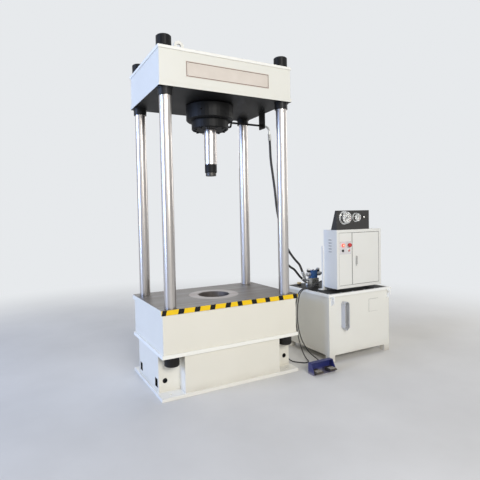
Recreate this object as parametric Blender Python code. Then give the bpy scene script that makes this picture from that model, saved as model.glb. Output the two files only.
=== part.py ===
"""Four-column hydraulic press with its power unit and foot switch.

Metres, +Z up. The origin is on the floor under the middle of the bed. +X runs to
the operator's right, towards the oil tank, and the operator stands at -Y.
"""

from math import cos, radians, sin, tau

import bmesh
import bpy
from mathutils import Matrix, Vector

# Values that every piece uses
GAP = 0.0003
OVERRUN = 0.003
WELD = 0.000002
COARSE, ROUND, FINE = 12, 24, 40

# Column, turned down at both ends to form the shoulders that bed and crown rest against
COLUMN_PITCH_X = 1.146
COLUMN_PITCH_Y = 0.728
COLUMN_RADIUS = 0.050
COLUMN_END_RADIUS = 0.045
COLUMN_CHAMFER = 0.004
THREAD_PROUD = 0.008
DAYLIGHT = 1.807

# Round nuts on the columns
NUT_RADIUS = 0.0635
BASE_NUT_HEIGHT = 0.082
TOP_NUT_HEIGHT = 0.096
NUT_CHAMFER = 0.007

# Base weldment
BASE_MARGIN_X = 0.111
BASE_MARGIN_Y = 0.0595
BASE_PLATE = 0.028
PEDESTAL_MARGIN_X = 0.095
PEDESTAL_MARGIN_Y = 0.049
PEDESTAL_HEIGHT = 0.324
NOTCH_CLEARANCE_X = 0.0335
NOTCH_CLEARANCE_Y = 0.0105
ANCHOR_HOLE_RADIUS = 0.011
ANCHOR_INSET_X = 0.098
ANCHOR_INSET_Y = 0.062
WALL_HOLE_RADIUS = 0.022
WALL_HOLE_HEIGHT = 0.124
WALL_HOLE_INSET = 0.056
POCKET_DEPTH = 0.060
SLOT_WIDTH = 0.070
SLOT_HEIGHT = 0.075
SLOT_BOTTOM = 0.062
SLOT_INSET = 0.030
BASE_GLAND_Y = -0.090
BASE_GLAND_Z = 0.060
BASE_GLAND_RADIUS = 0.011
BASE_GLAND_LENGTH = 0.030

# Bed weldment: lip plate, box and ground top plate with the drop hole
BED_MARGIN_X = 0.1045
BED_MARGIN_Y = 0.073
BED_LIP = 0.030
BED_BOX_HEIGHT = 0.3277
BED_BOX_INSET = 0.014
BED_PLATE = 0.042
DROP_HOLE_RADIUS = 0.150
SPOTFACE_DEPTH = 0.002

# Crown weldment
CROWN_MARGIN_X = 0.073
CROWN_MARGIN_Y = 0.0685
CROWN_HEIGHT = 0.321
CROWN_TOP_PLATE = 0.024
CROWN_BOTTOM_PLATE = 0.030
CROWN_BOX_INSET = 0.007
BOSS_RADIUS = 0.0605
BOSS_HEIGHT = 0.062
BOSS_FLANGE_RADIUS = 0.068
BOSS_FLANGE = 0.010
LIFTING_LUG_INSET_X = 0.153
LIFTING_LUG_INSET_Y = 0.064
LIFTING_LUG_WIDTH = 0.090
LIFTING_LUG_HEIGHT = 0.105
LIFTING_LUG_THICKNESS = 0.022
LIFTING_LUG_HOLE_RADIUS = 0.020
BRACKET_OUTSET = 0.018
BRACKET_WIDTH = 0.100
BRACKET_THICKNESS = 0.012
BRACKET_DROP = 0.172

# Cylinder
BARREL_RADIUS = 0.178
BORE_RADIUS = 0.140
BARREL_FLANGE_RADIUS = 0.215
BARREL_FLANGE = 0.045
BARREL_DROP = 0.147
BARREL_RISE = 0.092
BARREL_END = 0.055
RING_RADIUS = 0.226
RING_CHAMFER = 0.012
SPANNER_HOLE_RADIUS = 0.008
SPANNER_HOLE_DEPTH = 0.016
GLAND_RADIUS = 0.176
GLAND_HEIGHT = 0.082
GLAND_CHAMFER = 0.008
GLAND_SCREW_RADIUS = 0.013
GLAND_SCREW_HEAD = 0.010
GLAND_SCREW_PITCH_RADIUS = 0.149
GLAND_SCREWS = 12
RETRACT = 0.300
EXTEND = 0.100
STOP_CLEARANCE = 0.003
ROD_RADIUS = 0.060
ROD_REACH = 0.328
PISTON_LENGTH = 0.099
SEAL_WIDTH = 0.012
SEAL_DEPTH = 0.005
STUB_RADIUS = 0.050
STUB_LENGTH = 0.108
STUB_HOLE_RADIUS = 0.017
STUB_HOLE_DEPTH = 0.050
ROD_COLLAR_RADIUS = 0.0575
ROD_COLLAR_HEIGHT = 0.078
ROD_COLLAR_CHAMFER = 0.004

# Steel pipes, pressure hoses and their fittings
PIPE_RADIUS = 0.010
PIPE_NUT_RADIUS = 0.016
PIPE_NUT_LENGTH = 0.020
PIPE_FLANGE_RADIUS = 0.024
PIPE_FLANGE = 0.012
ROD_PORT_DROP = 0.035
ROD_PIPE_RISE = 0.045
ROD_PIPE_REACH = 0.052
HOSE_RADIUS = 0.0125
HOSE_STEP = 0.070
CRIMP_RADIUS = 0.0165
CRIMP_LENGTH = 0.072
CRIMP_CHAMFER = 0.003
ELBOW_SIZE = 0.075
CAP_PIPE_RISE = 0.058
CAP_PIPE_OUTSET = 0.067
PIPE_BEND = 0.040

# Oil tank
TANK_GAP = 0.387
TANK_FRONT = -0.430
TANK_WIDTH = 0.844
TANK_DEPTH = 0.720
TANK_FOOT = 0.070
TANK_TOP = 0.6975
TANK_WALL = 0.006
RIM_PROUD = 0.022
RIM_HEIGHT = 0.025
LEDGE_WIDTH = 0.018
LEDGE_HEIGHT = 0.006
LEG_WIDTH = 0.072
LEG_DEPTH = 0.060
EAR_INSET = 0.022
EAR_THICKNESS = 0.012
EAR_REACH = 0.050
EAR_HEIGHT = 0.105
EAR_HOLE_RADIUS = 0.012
BLANK_PLATE_INSET = 0.548
BLANK_PLATE_SIZE = 0.132
BLANK_PLATE_DROP = 0.1055
BLANK_PLATE_PROUD = 0.003
COVER_THICKNESS = 0.008
FILLER_INSET_X = 0.114
FILLER_INSET_Y = 0.090
FILLER_RADIUS = 0.022
FILLER_NECK = 0.016
FILLER_CAP_RADIUS = 0.026
FILLER_CAP_HEIGHT = 0.020
FILLER_GRIPS = 10
FILLER_GRIP_RADIUS = 0.004

# Level gauge and its guard on the tank's front
LEVEL_INSET = 0.191
LEVEL_DROP = 0.1275
LEVEL_PITCH = 0.190
LEVEL_BLOCK = 0.026
LEVEL_BLOCK_DEPTH = 0.018
LEVEL_TUBE_RADIUS = 0.007
LEVEL_SCREW_RADIUS = 0.010
LEVEL_SCREW_HEAD = 0.012
GUARD_WIDTH = 0.062
GUARD_WALL = 0.004
GUARD_DEPTH = 0.055
GUARD_DROP = 0.0855
GUARD_HEIGHT = 0.294
GUARD_POINT = 0.030

# Motor, bell housing, pump and strainer, on one upright axis
MOTOR_INSET_X = 0.549
MOTOR_INSET_Y = 0.250
MOTOR_RADIUS = 0.100
MOTOR_HEIGHT = 0.250
MOTOR_FLANGE_RADIUS = 0.125
MOTOR_FLANGE = 0.014
MOTOR_BORE_RADIUS = 0.060
FIN_HEIGHT = 0.012
FIN_COUNT = 20
FIN_SHARES = (0.0, 0.30, 0.38, 0.92)
TERMINAL_BOX = 0.090
TERMINAL_BOX_HEIGHT = 0.080
SHAFT_RADIUS = 0.014
SHAFT_CLEARANCE = 0.001
END_PLATE = 0.010
COWL_RADIUS = 0.114
COWL_HEIGHT = 0.070
COWL_WALL = 0.003
COWL_SLOTS = 8
COWL_SLOT_WIDTH = 0.010
FAN_RADIUS = 0.085
FAN_HUB_RADIUS = 0.024
FAN_HEIGHT = 0.026
FAN_BLADES = 6
FAN_BLADE = 0.004
FAN_CLEARANCE = 0.012
ROTOR_RADIUS = 0.055
ROTOR_CLEARANCE = 0.012
BELL_RADIUS = 0.075
BELL_WALL = 0.008
BELL_HEIGHT = 0.105
BELL_WINDOW_WIDTH = 0.060
BELL_WINDOW_HEIGHT = 0.050
PUMP_RADIUS = 0.062
PUMP_HEIGHT = 0.150
COUPLING_RADIUS = 0.030
COUPLING_HEIGHT = 0.045
STRAINER_RADIUS = 0.040
STRAINER_HEIGHT = 0.110
SUCTION_RADIUS = 0.016
SUCTION_LENGTH = 0.050

# Manifold and directional valve
MANIFOLD_INSET_X = 0.167
MANIFOLD_INSET_Y = 0.215
MANIFOLD_WIDTH = 0.096
MANIFOLD_DEPTH = 0.080
MANIFOLD_HEIGHT = 0.095
VALVE_WIDTH = 0.074
VALVE_DEPTH = 0.068
VALVE_HEIGHT = 0.086
VALVE_INSET = 0.004
VALVE_MARGIN = 0.007
SPIGOT_RADIUS = 0.015
SOLENOID_RADIUS = 0.025
SOLENOID_LENGTHS = (0.040, 0.060)
SOLENOID_CHAMFER = 0.003
OVERRIDE_RADIUS = 0.013
OVERRIDE_LENGTHS = (0.010, 0.045)
PLUG_WIDTH = 0.028
PLUG_HEIGHT = 0.032

# Control cabinet, its stand, door and handle
CABINET_INSET_X = 0.157
CABINET_INSET_Y = 0.050
CABINET_WIDTH = 0.632
CABINET_DEPTH = 0.200
CABINET_LIFT = 0.0325
CABINET_HEIGHT = 0.611
CABINET_WALL = 0.003
CABINET_FRAME = 0.030
CABINET_RETURN = 0.014
FIXED_PANEL_WIDTH = 0.181
PANEL_RECESS = 0.002
DOOR_GAP = 0.0015
DOOR_DEPTH = 0.016
DOOR_SHEET = 0.002
DOOR_PIN_RADIUS = 0.0022
DOOR_PIN_LENGTH = 0.007
DOOR_PIN_INSET_X = 0.005
DOOR_PIN_INSET_Y = 0.0032
DOOR_PIN_CLEARANCE = 0.0004
LOUVRES = 5
LOUVRE_PITCH = 0.031
LOUVRE_WIDTH = 0.046
LOUVRE_HEIGHT = 0.006
LOUVRE_BOTTOM = 0.385
LOUVRE_INSET = 0.078
STAND_POST = 0.030
STAND_DEPTH = 0.020
STAND_HEIGHT = 0.470
STAND_FOOT_WIDTH = 0.075
STAND_FOOT_DEPTH = 0.060
STAND_FOOT = 0.006
HANDLE_OFFSET = 0.054
HANDLE_PIVOT_DROP = 0.286
LOCK_PLATE_WIDTH = 0.026
LOCK_PLATE_HEIGHT = 0.112
LOCK_PLATE_PROUD = 0.003
HANDLE_WIDTH = 0.016
HANDLE_LENGTH = 0.082
HANDLE_THICKNESS = 0.009
HANDLE_STAND_OFF = 0.002
HANDLE_SHAFT_RADIUS = 0.005
HANDLE_SHAFT_CLEARANCE = 0.0005
CAM_LENGTH = 0.0525
CAM_WIDTH = 0.014
CAM_THICKNESS = 0.003
CAM_CLEARANCE = 0.001
CABLE_GLAND_RADIUS = 0.009
CABLE_GLAND_LENGTH = 0.022

# Switchgear rack inside the cabinet
RACK_INSET = 0.040
RACK_PLATE = 0.003
RACK_STUD = 0.010
RACK_STUD_RADIUS = 0.005
RACK_UNIT_DEPTH = 0.070
RACK_ROW_HEIGHTS = (0.090, 0.080, 0.110)
RACK_ROW_SHARES = (0.10, 0.42, 0.72)
RACK_UNIT_SHARES = ((0.05, 0.30), (0.34, 0.50), (0.54, 0.70), (0.76, 0.95))

# Operator controls on the cabinet's fixed panel
BUTTON_PLATE_WIDTH = 0.152
BUTTON_PLATE_HEIGHT = 0.134
BUTTON_PLATE_INSET = 0.118
BUTTON_PLATE_RISE = 0.423
BUTTON_PLATE_PROUD = 0.002
BUTTON_PITCH_X = 0.080
BUTTON_PITCH_Z = 0.056
BUTTON_SHANK_RADIUS = 0.008
BUTTON_SHANK_LENGTH = 0.024
BUTTON_CLEARANCE = 0.0005
START_RADIUS = 0.019
START_HEIGHT = 0.012
START_TRAVEL = 0.004
STOP_RADIUS = 0.022
STOP_HEIGHT = 0.026
STOP_TRAVEL = 0.006
STOP_NECK_RADIUS = 0.011
BUTTON_STAND_OFF = 0.0065
KNOB_RADIUS = 0.014
KNOB_HEIGHT = 0.008
KNOB_GRIP = 0.010
KNOB_GRIP_WIDTH = 0.006
PILOT_RADIUS = 0.017
PILOT_HEIGHT = 0.010
BUTTON_CHAMFER = 0.002

# Gauge panel and pressure gauges
GAUGE_PANEL_WIDTH = 0.456
GAUGE_PANEL_HEIGHT = 0.200
GAUGE_PANEL_DEPTH = 0.085
GAUGE_PANEL_SHEET = 0.003
GAUGE_PANEL_LIP = 0.020
MAIN_GAUGE_INSET = 0.102
MAIN_GAUGE_RISE = 0.126
MAIN_GAUGE_RADIUS = 0.070
MAIN_GAUGE_DEPTH = 0.046
OIL_GAUGE_INSET = 0.262
OIL_GAUGE_RISE = 0.127
OIL_GAUGE_RADIUS = 0.048
OIL_GAUGE_DEPTH = 0.036
GAUGE_FLANGE = 0.003
GAUGE_BODY_SHARE = 0.86
GAUGE_BEZEL_SHARE = 0.76
GAUGE_RECESS = 0.010
GAUGE_BACK_DEPTH = 0.030
GAUGE_BACK_SHARE = 0.70
GLASS_THICKNESS = 0.003
POINTER_THICKNESS = 0.0012
POINTER_LENGTH_SHARE = 0.62
POINTER_TAIL_SHARE = 0.20
POINTER_WIDTH_SHARE = 0.055
POINTER_HUB_SHARE = 0.10
POINTER_PIN_RADIUS = 0.002
POINTER_PIN_DEPTH = 0.003
POINTER_REST_DEGREES = -135
LAMP_INSET = 0.372
LAMP_RISE = 0.129
LAMP_RADIUS = 0.011
LAMP_HEIGHT = 0.012

# Foot switch
FOOT_GAP = 0.038
FOOT_WIDTH = 0.262
FOOT_BACK = -0.525
FOOT_DEPTH = 0.084
FOOT_HEIGHT = 0.106
FOOT_HOOD_DEPTH = 0.046
FOOT_WALL = 0.004
FOOT_FLOOR = 0.006
PEDAL_INSET = 0.006
PEDAL_WIDTH = 0.078
PEDAL_THICKNESS = 0.016
PEDAL_LENGTH = 0.098
PEDAL_HINGE_SETBACK = 0.020
PEDAL_HINGE_HEIGHT = 0.028
PEDAL_PIN_RADIUS = 0.0035
PEDAL_PIN_CLEARANCE = 0.0005
PEDAL_HUB_RADIUS = 0.008
PEDAL_PAD_MARGIN = 0.007
PEDAL_PAD_LENGTH = 0.052
PEDAL_PAD_PROUD = 0.004
PEDAL_EAR = 0.006
FOOT_GLAND_INSET = 0.213
FOOT_GLAND_Z = 0.045

# Cables
CABLE_RADIUS = 0.0055
CABLE_STEP = 0.040
CABLE_START_INSET = 0.047
CABLE_PITCH = 0.030
CABLE_START_RISE = 0.058

# Routes of the hoses and cables, placed by hand. X runs from the right side of the base.
ROD_HOSE_ROUTE = (
    (0.0095, 0.004, 2.079), (0.034, 0.008, 1.925), (0.059, 0.013, 1.769), (0.090, 0.020, 1.549),
    (0.152, 0.032, 1.330), (0.249, 0.048, 1.120), (0.333, 0.058, 1.021), (0.414, 0.067, 0.940),
)
CAP_HOSE_ROUTE = (
    (0.0958, 0.002, 3.0162), (0.1342, 0.006, 2.9778), (0.1483, 0.011, 2.9253), (0.158, 0.016, 2.860),
    (0.1645, 0.021, 2.780), (0.166, 0.027, 2.640), (0.164, 0.036, 2.400), (0.160, 0.042, 2.000),
    (0.162, 0.052, 1.500), (0.174, 0.066, 1.200), (0.208, 0.084, 1.050), (0.282, 0.103, 0.950),
    (0.366, 0.120, 0.902),
)
FOOT_CABLE_ROUTE = (
    (0.5843, -0.1162, 0.782), (0.566, -0.0979, 0.774), (0.541, -0.0912, 0.762), (0.506, -0.086, 0.744),
    (0.466, -0.081, 0.725), (0.426, -0.076, 0.711), (0.391, -0.072, 0.7065), (0.359, -0.068, 0.7035),
    (0.322, -0.063, 0.676), (0.291, -0.060, 0.600), (0.270, -0.066, 0.500), (0.260, -0.084, 0.340),
    (0.266, -0.140, 0.185), (0.282, -0.225, 0.088), (0.297, -0.310, 0.046), (0.300, -0.370, 0.029),
    (0.2936, -0.4015, 0.027), (0.2755, -0.428, 0.030), (0.2574, -0.4545, 0.038),
)
FLOOR_CABLE_ROUTE = (
    (0.6116, -0.1062, 0.781), (0.586, -0.0806, 0.772), (0.551, -0.0712, 0.757), (0.516, -0.066, 0.740),
    (0.476, -0.0585, 0.722), (0.431, -0.053, 0.710), (0.396, -0.0495, 0.7065), (0.359, -0.046, 0.7035),
    (0.318, -0.042, 0.676), (0.282, -0.040, 0.600), (0.258, -0.048, 0.500), (0.246, -0.072, 0.340),
    (0.249, -0.115, 0.180), (0.251, -0.170, 0.070), (0.251, -0.225, 0.018), (0.247, -0.262, 0.0065),
    (0.228, -0.291, 0.0065), (0.200, -0.301, 0.0065), (0.172, -0.291, 0.0065), (0.150, -0.268, 0.0065),
    (0.122, -0.238, 0.0065), (0.102, -0.212, 0.0075), (0.085, -0.184, 0.014), (0.077, -0.158, 0.026),
    (0.0756, -0.136, 0.037), (0.0686, -0.113, 0.049), (0.0518, -0.0962, 0.057),
)

# Places that follow from the sizes
COLUMN_X = COLUMN_PITCH_X / 2
COLUMN_Y = COLUMN_PITCH_Y / 2
CORNERS = {"front_left": (-1, -1), "front_right": (1, -1), "rear_left": (-1, 1), "rear_right": (1, 1)}
BASE_SIDE = COLUMN_X + BASE_MARGIN_X
BASE_END = COLUMN_Y + BASE_MARGIN_Y
PEDESTAL_SIDE = COLUMN_X + PEDESTAL_MARGIN_X
PEDESTAL_END = COLUMN_Y + PEDESTAL_MARGIN_Y
NOTCH_X = COLUMN_X - NUT_RADIUS - NOTCH_CLEARANCE_X
NOTCH_Y = COLUMN_Y - NUT_RADIUS - NOTCH_CLEARANCE_Y
BED_BOTTOM = BASE_PLATE + PEDESTAL_HEIGHT + GAP
LIP_TOP = BED_BOTTOM + BED_LIP
BED_TOP = LIP_TOP + BED_BOX_HEIGHT + BED_PLATE
COLUMN_SEAT = BED_TOP - SPOTFACE_DEPTH
CROWN_BOTTOM = BED_TOP + DAYLIGHT
CROWN_TOP = CROWN_BOTTOM + CROWN_HEIGHT
BARREL_BOTTOM = CROWN_BOTTOM - BARREL_DROP
BARREL_TOP = CROWN_TOP + BARREL_RISE
BORE_TOP = BARREL_TOP - BARREL_END
GLAND_BOTTOM = BARREL_BOTTOM - GAP - GLAND_HEIGHT
SHOULDER = GLAND_BOTTOM - ROD_REACH
PISTON_TOP = BORE_TOP - STOP_CLEARANCE - RETRACT
BRACKET_X = COLUMN_X + BRACKET_OUTSET
TANK_LEFT = BASE_SIDE + TANK_GAP
TANK_RIGHT = TANK_LEFT + TANK_WIDTH
TANK_BACK = TANK_FRONT + TANK_DEPTH
COVER_BOTTOM = TANK_TOP - COVER_THICKNESS - LEDGE_HEIGHT / 2
COVER_TOP = COVER_BOTTOM + COVER_THICKNESS
FILLER_X = TANK_LEFT + FILLER_INSET_X
FILLER_Y = TANK_BACK - FILLER_INSET_Y
LEVEL_X = TANK_LEFT + LEVEL_INSET
LEVEL_TOP = TANK_TOP - LEVEL_DROP
GUARD_TOP = TANK_TOP - GUARD_DROP
GUARD_BOTTOM = GUARD_TOP - GUARD_HEIGHT
CABINET_LEFT = TANK_LEFT + CABINET_INSET_X
CABINET_FRONT = TANK_FRONT + CABINET_INSET_Y
CABINET_BOTTOM = COVER_TOP + CABINET_LIFT
CABINET_RIGHT = CABINET_LEFT + CABINET_WIDTH
CABINET_BACK = CABINET_FRONT + CABINET_DEPTH
CABINET_TOP = CABINET_BOTTOM + CABINET_HEIGHT
OPENING_BOTTOM = CABINET_BOTTOM + CABINET_FRAME
OPENING_TOP = CABINET_TOP - CABINET_FRAME
DOOR_LEFT = CABINET_LEFT + CABINET_FRAME + FIXED_PANEL_WIDTH + DOOR_GAP
DOOR_RIGHT = CABINET_RIGHT - CABINET_FRAME - DOOR_GAP
PANEL_FRONT = CABINET_FRONT + PANEL_RECESS
BUTTON_PLATE_X = CABINET_LEFT + BUTTON_PLATE_INSET
BUTTON_PLATE_Z = CABINET_BOTTOM + BUTTON_PLATE_RISE
MAIN_GAUGE_X = CABINET_LEFT + MAIN_GAUGE_INSET
MAIN_GAUGE_Z = CABINET_TOP + MAIN_GAUGE_RISE
OIL_GAUGE_X = CABINET_LEFT + OIL_GAUGE_INSET
OIL_GAUGE_Z = CABINET_TOP + OIL_GAUGE_RISE
MOTOR_X = TANK_LEFT + MOTOR_INSET_X
MOTOR_Y = CABINET_BACK + MOTOR_INSET_Y
MANIFOLD_LEFT = TANK_LEFT + MANIFOLD_INSET_X
MANIFOLD_FRONT = CABINET_BACK + MANIFOLD_INSET_Y
FOOT_LEFT = BASE_SIDE + FOOT_GAP
FOOT_GLAND_X = FOOT_LEFT + FOOT_GLAND_INSET


# Shapes


def clear_scene():
    for obj in list(bpy.data.objects):
        bpy.data.objects.remove(obj, do_unlink=True)


def shaped(bm):
    """The mesh as an object, its faces pointing outwards."""
    bmesh.ops.recalc_face_normals(bm, faces=bm.faces)
    mesh = bpy.data.meshes.new("shape")
    bm.to_mesh(mesh)
    bm.free()
    obj = bpy.data.objects.new("shape", mesh)
    bpy.context.scene.collection.objects.link(obj)
    return obj


def block(low, high):
    bm = bmesh.new()
    size = [b - a for a, b in zip(low, high)]
    middle = [(a + b) / 2 for a, b in zip(low, high)]
    bmesh.ops.create_cube(bm, size=1, matrix=Matrix.Translation(middle) @ Matrix.Diagonal((*size, 1)))
    return shaped(bm)


def prism(outline, axis, start, end):
    """An outline, extruded along an axis. Its two numbers are the other two axes, in X, Y, Z order."""
    place = {
        "X": lambda u, v, w: Vector((w, u, v)),
        "Y": lambda u, v, w: Vector((u, w, v)),
        "Z": lambda u, v, w: Vector((u, v, w)),
    }[axis]
    bm = bmesh.new()
    face = bm.faces.new([bm.verts.new(place(u, v, start)) for u, v in outline])
    raised = bmesh.ops.extrude_face_region(bm, geom=[face])["geom"]
    corners = [item for item in raised if isinstance(item, bmesh.types.BMVert)]
    bmesh.ops.translate(bm, vec=place(0, 0, end - start), verts=corners)
    return shaped(bm)


def turned(profile, at=(0, 0, 0), toward=(0, 0, 1), steps=ROUND):
    """A profile of (radius, height) points, spun about an axis through a place."""
    bm = bmesh.new()
    points = [bm.verts.new((radius, 0, height)) for radius, height in profile]
    pairs = list(zip(points, points[1:]))
    if profile[0][0] > 0:
        pairs.append((points[-1], points[0]))
    edges = [bm.edges.new(pair) for pair in pairs]
    bmesh.ops.spin(
        bm, geom=points + edges, cent=(0, 0, 0), axis=(0, 0, 1), angle=tau, steps=steps, use_merge=True
    )
    bmesh.ops.remove_doubles(bm, verts=bm.verts, dist=WELD)
    turn = Vector((0, 0, 1)).rotation_difference(Vector(toward))
    bm.transform(Matrix.Translation(at) @ turn.to_matrix().to_4x4())
    return shaped(bm)


def rod(radius, length, at, toward=(0, 0, 1), steps=ROUND, chamfer=0):
    """A solid round bar from a place, along a direction."""
    profile = [(0, 0), (radius - chamfer, 0), (radius, chamfer)]
    profile += [(radius, length - chamfer), (radius - chamfer, length), (0, length)]
    if not chamfer:
        profile = [(0, 0), (radius, 0), (radius, length), (0, length)]
    return turned(profile, at, toward, steps)


def ring(inner, outer, bottom, top, at=(0, 0, 0), toward=(0, 0, 1), steps=ROUND, chamfer=0):
    """A round collar with both outer edges chamfered."""
    profile = [(inner, bottom), (outer - chamfer, bottom), (outer, bottom + chamfer)]
    profile += [(outer, top - chamfer), (outer - chamfer, top), (inner, top)]
    if not chamfer:
        profile = [(inner, bottom), (outer, bottom), (outer, top), (inner, top)]
    return turned(profile, at, toward, steps)


def tube(points, radius, sides=2):
    """A round bar along a line of points, as a mesh."""
    curve = bpy.data.curves.new("shape", "CURVE")
    curve.dimensions = "3D"
    curve.bevel_depth = radius
    curve.bevel_resolution = sides
    curve.use_fill_caps = True
    spline = curve.splines.new("POLY")
    spline.points.add(len(points) - 1)
    for target, point in zip(spline.points, points):
        target.co = (*point, 1)
    obj = bpy.data.objects.new("shape", curve)
    bpy.context.scene.collection.objects.link(obj)
    return obj


def solid(obj):
    """The object with its curve turned into a welded mesh."""
    mesh = bpy.data.meshes.new_from_object(obj.evaluated_get(bpy.context.evaluated_depsgraph_get()))
    bpy.data.objects.remove(obj)
    bm = bmesh.new()
    bm.from_mesh(mesh)
    bmesh.ops.remove_doubles(bm, verts=bm.verts, dist=WELD)
    return shaped(bm)


def baked(target, tools, operation):
    """The target with the tools united with it or cut from it. The tools are used up."""
    for tool in tools:
        step = target.modifiers.new(operation, "BOOLEAN")
        step.operation = operation
        step.object = tool
        step.solver = "EXACT"
    graph = bpy.context.evaluated_depsgraph_get()
    mesh = bpy.data.meshes.new_from_object(target.evaluated_get(graph))
    target.modifiers.clear()
    target.data = mesh
    for tool in tools:
        bpy.data.objects.remove(tool)
    bm = bmesh.new()
    bm.from_mesh(mesh)
    bmesh.ops.remove_doubles(bm, verts=bm.verts, dist=WELD)
    bmesh.ops.dissolve_degenerate(bm, edges=bm.edges, dist=WELD)
    bm.to_mesh(mesh)
    bm.free()
    return target


def joined(target, *tools):
    return baked(target, tools, "UNION")


def cut(target, *tools):
    return baked(target, tools, "DIFFERENCE")


def circle(centre, radius, steps=ROUND, first=0, sweep=360):
    """Points along an arc of whole degrees, its last point left out of a full circle."""
    u, v = centre
    count = steps if sweep == 360 else steps + 1
    turns = [radians(first + sweep * i / steps) for i in range(count)]
    return [(u + radius * cos(turn), v + radius * sin(turn)) for turn in turns]


def rounded(low, high, radius, steps=4):
    """A rectangle with round corners."""
    (u0, v0), (u1, v1) = low, high
    centres = ((u1 - radius, v1 - radius), (u0 + radius, v1 - radius))
    centres += ((u0 + radius, v0 + radius), (u1 - radius, v0 + radius))
    points = []
    for number, centre in enumerate(centres):
        points += circle(centre, radius, steps, 90 * number, 90)
    return points


def heading(before, here, after):
    """The direction of a smooth curve at a point between two others, led by the nearer one."""
    arrive, leave = here - before, after - here
    near, far = arrive.length, leave.length
    return (arrive * far / near + leave * near / far) / (near + far)


def smooth(route, step):
    """The route's two straight ends, and points a step apart along a smooth curve between them."""
    nodes = [Vector(point) for point in route]
    dense = []
    for before, start, end, after in zip(nodes, nodes[1:], nodes[2:], nodes[3:]):
        span = (end - start).length
        leave, arrive = heading(before, start, end) * span, heading(start, end, after) * span
        count = max(2, round(8 * span / step))
        for t in (i / count for i in range(count)):
            point = start * (1 + 2 * t) * (1 - t) ** 2 + end * t * t * (3 - 2 * t)
            dense.append(point + leave * t * (1 - t) ** 2 - arrive * t * t * (1 - t))
    dense.append(nodes[-2])
    lengths = [0]
    for a, b in zip(dense, dense[1:]):
        lengths.append(lengths[-1] + (b - a).length)
    count = round(lengths[-1] / step)
    points, index = [nodes[0], dense[0]], 0
    for number in range(1, count):
        goal = lengths[-1] * number / count
        while lengths[index + 1] < goal:
            index += 1
        share = (goal - lengths[index]) / (lengths[index + 1] - lengths[index])
        points.append(dense[index].lerp(dense[index + 1], share))
    return [*points, dense[-1], nodes[-1]]


def bent(corners, bend, steps=5):
    """A pipe's centre line: straight runs with a round bend at each corner."""
    nodes = [Vector(corner) for corner in corners]
    line = [nodes[0]]
    for before, corner, after in zip(nodes, nodes[1:], nodes[2:]):
        start = corner + (before - corner).normalized() * bend
        end = corner + (after - corner).normalized() * bend
        for t in (i / steps for i in range(steps + 1)):
            line.append(start * (1 - t) ** 2 + corner * 2 * t * (1 - t) + end * t * t)
    return [*line, nodes[-1]]


# Finishes


def finish(name, colour, roughness, metallic=0.0, alpha=1.0):
    material = bpy.data.materials.new(name)
    material.use_nodes = True
    shader = material.node_tree.nodes["Principled BSDF"]
    shader.inputs["Base Color"].default_value = (*colour, 1)
    shader.inputs["Roughness"].default_value = roughness
    shader.inputs["Metallic"].default_value = metallic
    shader.inputs["Alpha"].default_value = alpha
    return material


def piece(name, obj, look, origin=(0, 0, 0)):
    """Names a finished solid, gives it its look and puts its origin on its seat or its joint's axis."""
    obj.name = name
    obj.data.name = name
    obj.data.transform(Matrix.Translation(-Vector(origin)))
    obj.location = origin
    obj.data.materials.clear()
    obj.data.materials.append(look)
    obj.data.shade_smooth()
    obj.data.set_sharp_from_angle(angle=radians(30))
    return obj


def copies(name, obj, look, places):
    """The same mesh at several places, one object for each."""
    master = piece(name, obj, look)
    for suffix, place in places.items():
        copy = bpy.data.objects.new(name + "_" + suffix, master.data)
        copy.location = place
        bpy.context.scene.collection.objects.link(copy)
    bpy.data.objects.remove(master)


def cord(name, points, radius, look, sides=2):
    """A hose or cable, kept as a bevelled curve."""
    obj = tube(points, radius, sides)
    obj.name = name
    obj.data.materials.append(look)


def beside_base(route):
    return [Vector((BASE_SIDE + x, y, z)) for x, y, z in route]


def corner_places(height):
    return {name: (x * COLUMN_X, y * COLUMN_Y, height) for name, (x, y) in CORNERS.items()}


# Press frame


def base_frame(look):
    half_x, half_y = PEDESTAL_SIDE, PEDESTAL_END
    plate = block((-BASE_SIDE, -BASE_END, 0), (BASE_SIDE, BASE_END, BASE_PLATE))
    outline = []
    for x, y in ((-1, -1), (1, -1), (1, 1), (-1, 1)):
        corner = [(x * NOTCH_X, y * half_y), (x * NOTCH_X, y * NOTCH_Y), (x * half_x, y * NOTCH_Y)]
        outline += corner if x * y < 0 else corner[::-1]
    pedestal = prism(outline, "Z", BASE_PLATE / 2, BASE_PLATE + PEDESTAL_HEIGHT)
    exit_hole = (half_x - OVERRUN, BASE_GLAND_Y, BASE_GLAND_Z)
    gland = rod(BASE_GLAND_RADIUS, BASE_GLAND_LENGTH + OVERRUN, exit_hole, (1, 0, 0), COARSE)
    frame = joined(plate, pedestal, gland)
    tools = []
    for x, y in CORNERS.values():
        anchor = (x * (BASE_SIDE - ANCHOR_INSET_X), y * (BASE_END - ANCHOR_INSET_Y), -OVERRUN)
        tools.append(rod(ANCHOR_HOLE_RADIUS, BASE_PLATE + 2 * OVERRUN, anchor, steps=COARSE))
        hole = (x * (half_x - WALL_HOLE_INSET), y * (NOTCH_Y + OVERRUN), WALL_HOLE_HEIGHT)
        tools.append(rod(WALL_HOLE_RADIUS, POCKET_DEPTH, hole, (0, -y, 0), COARSE))
        ends = sorted((x * (half_x + OVERRUN), x * (half_x - POCKET_DEPTH)))
        sides = sorted((y * (NOTCH_Y - SLOT_INSET), y * (NOTCH_Y - SLOT_INSET - SLOT_WIDTH)))
        if x < 0:
            low = (ends[0], sides[0], SLOT_BOTTOM)
            tools.append(block(low, (ends[1], sides[1], SLOT_BOTTOM + SLOT_HEIGHT)))
    piece("base_frame", cut(frame, *tools), look)


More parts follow.
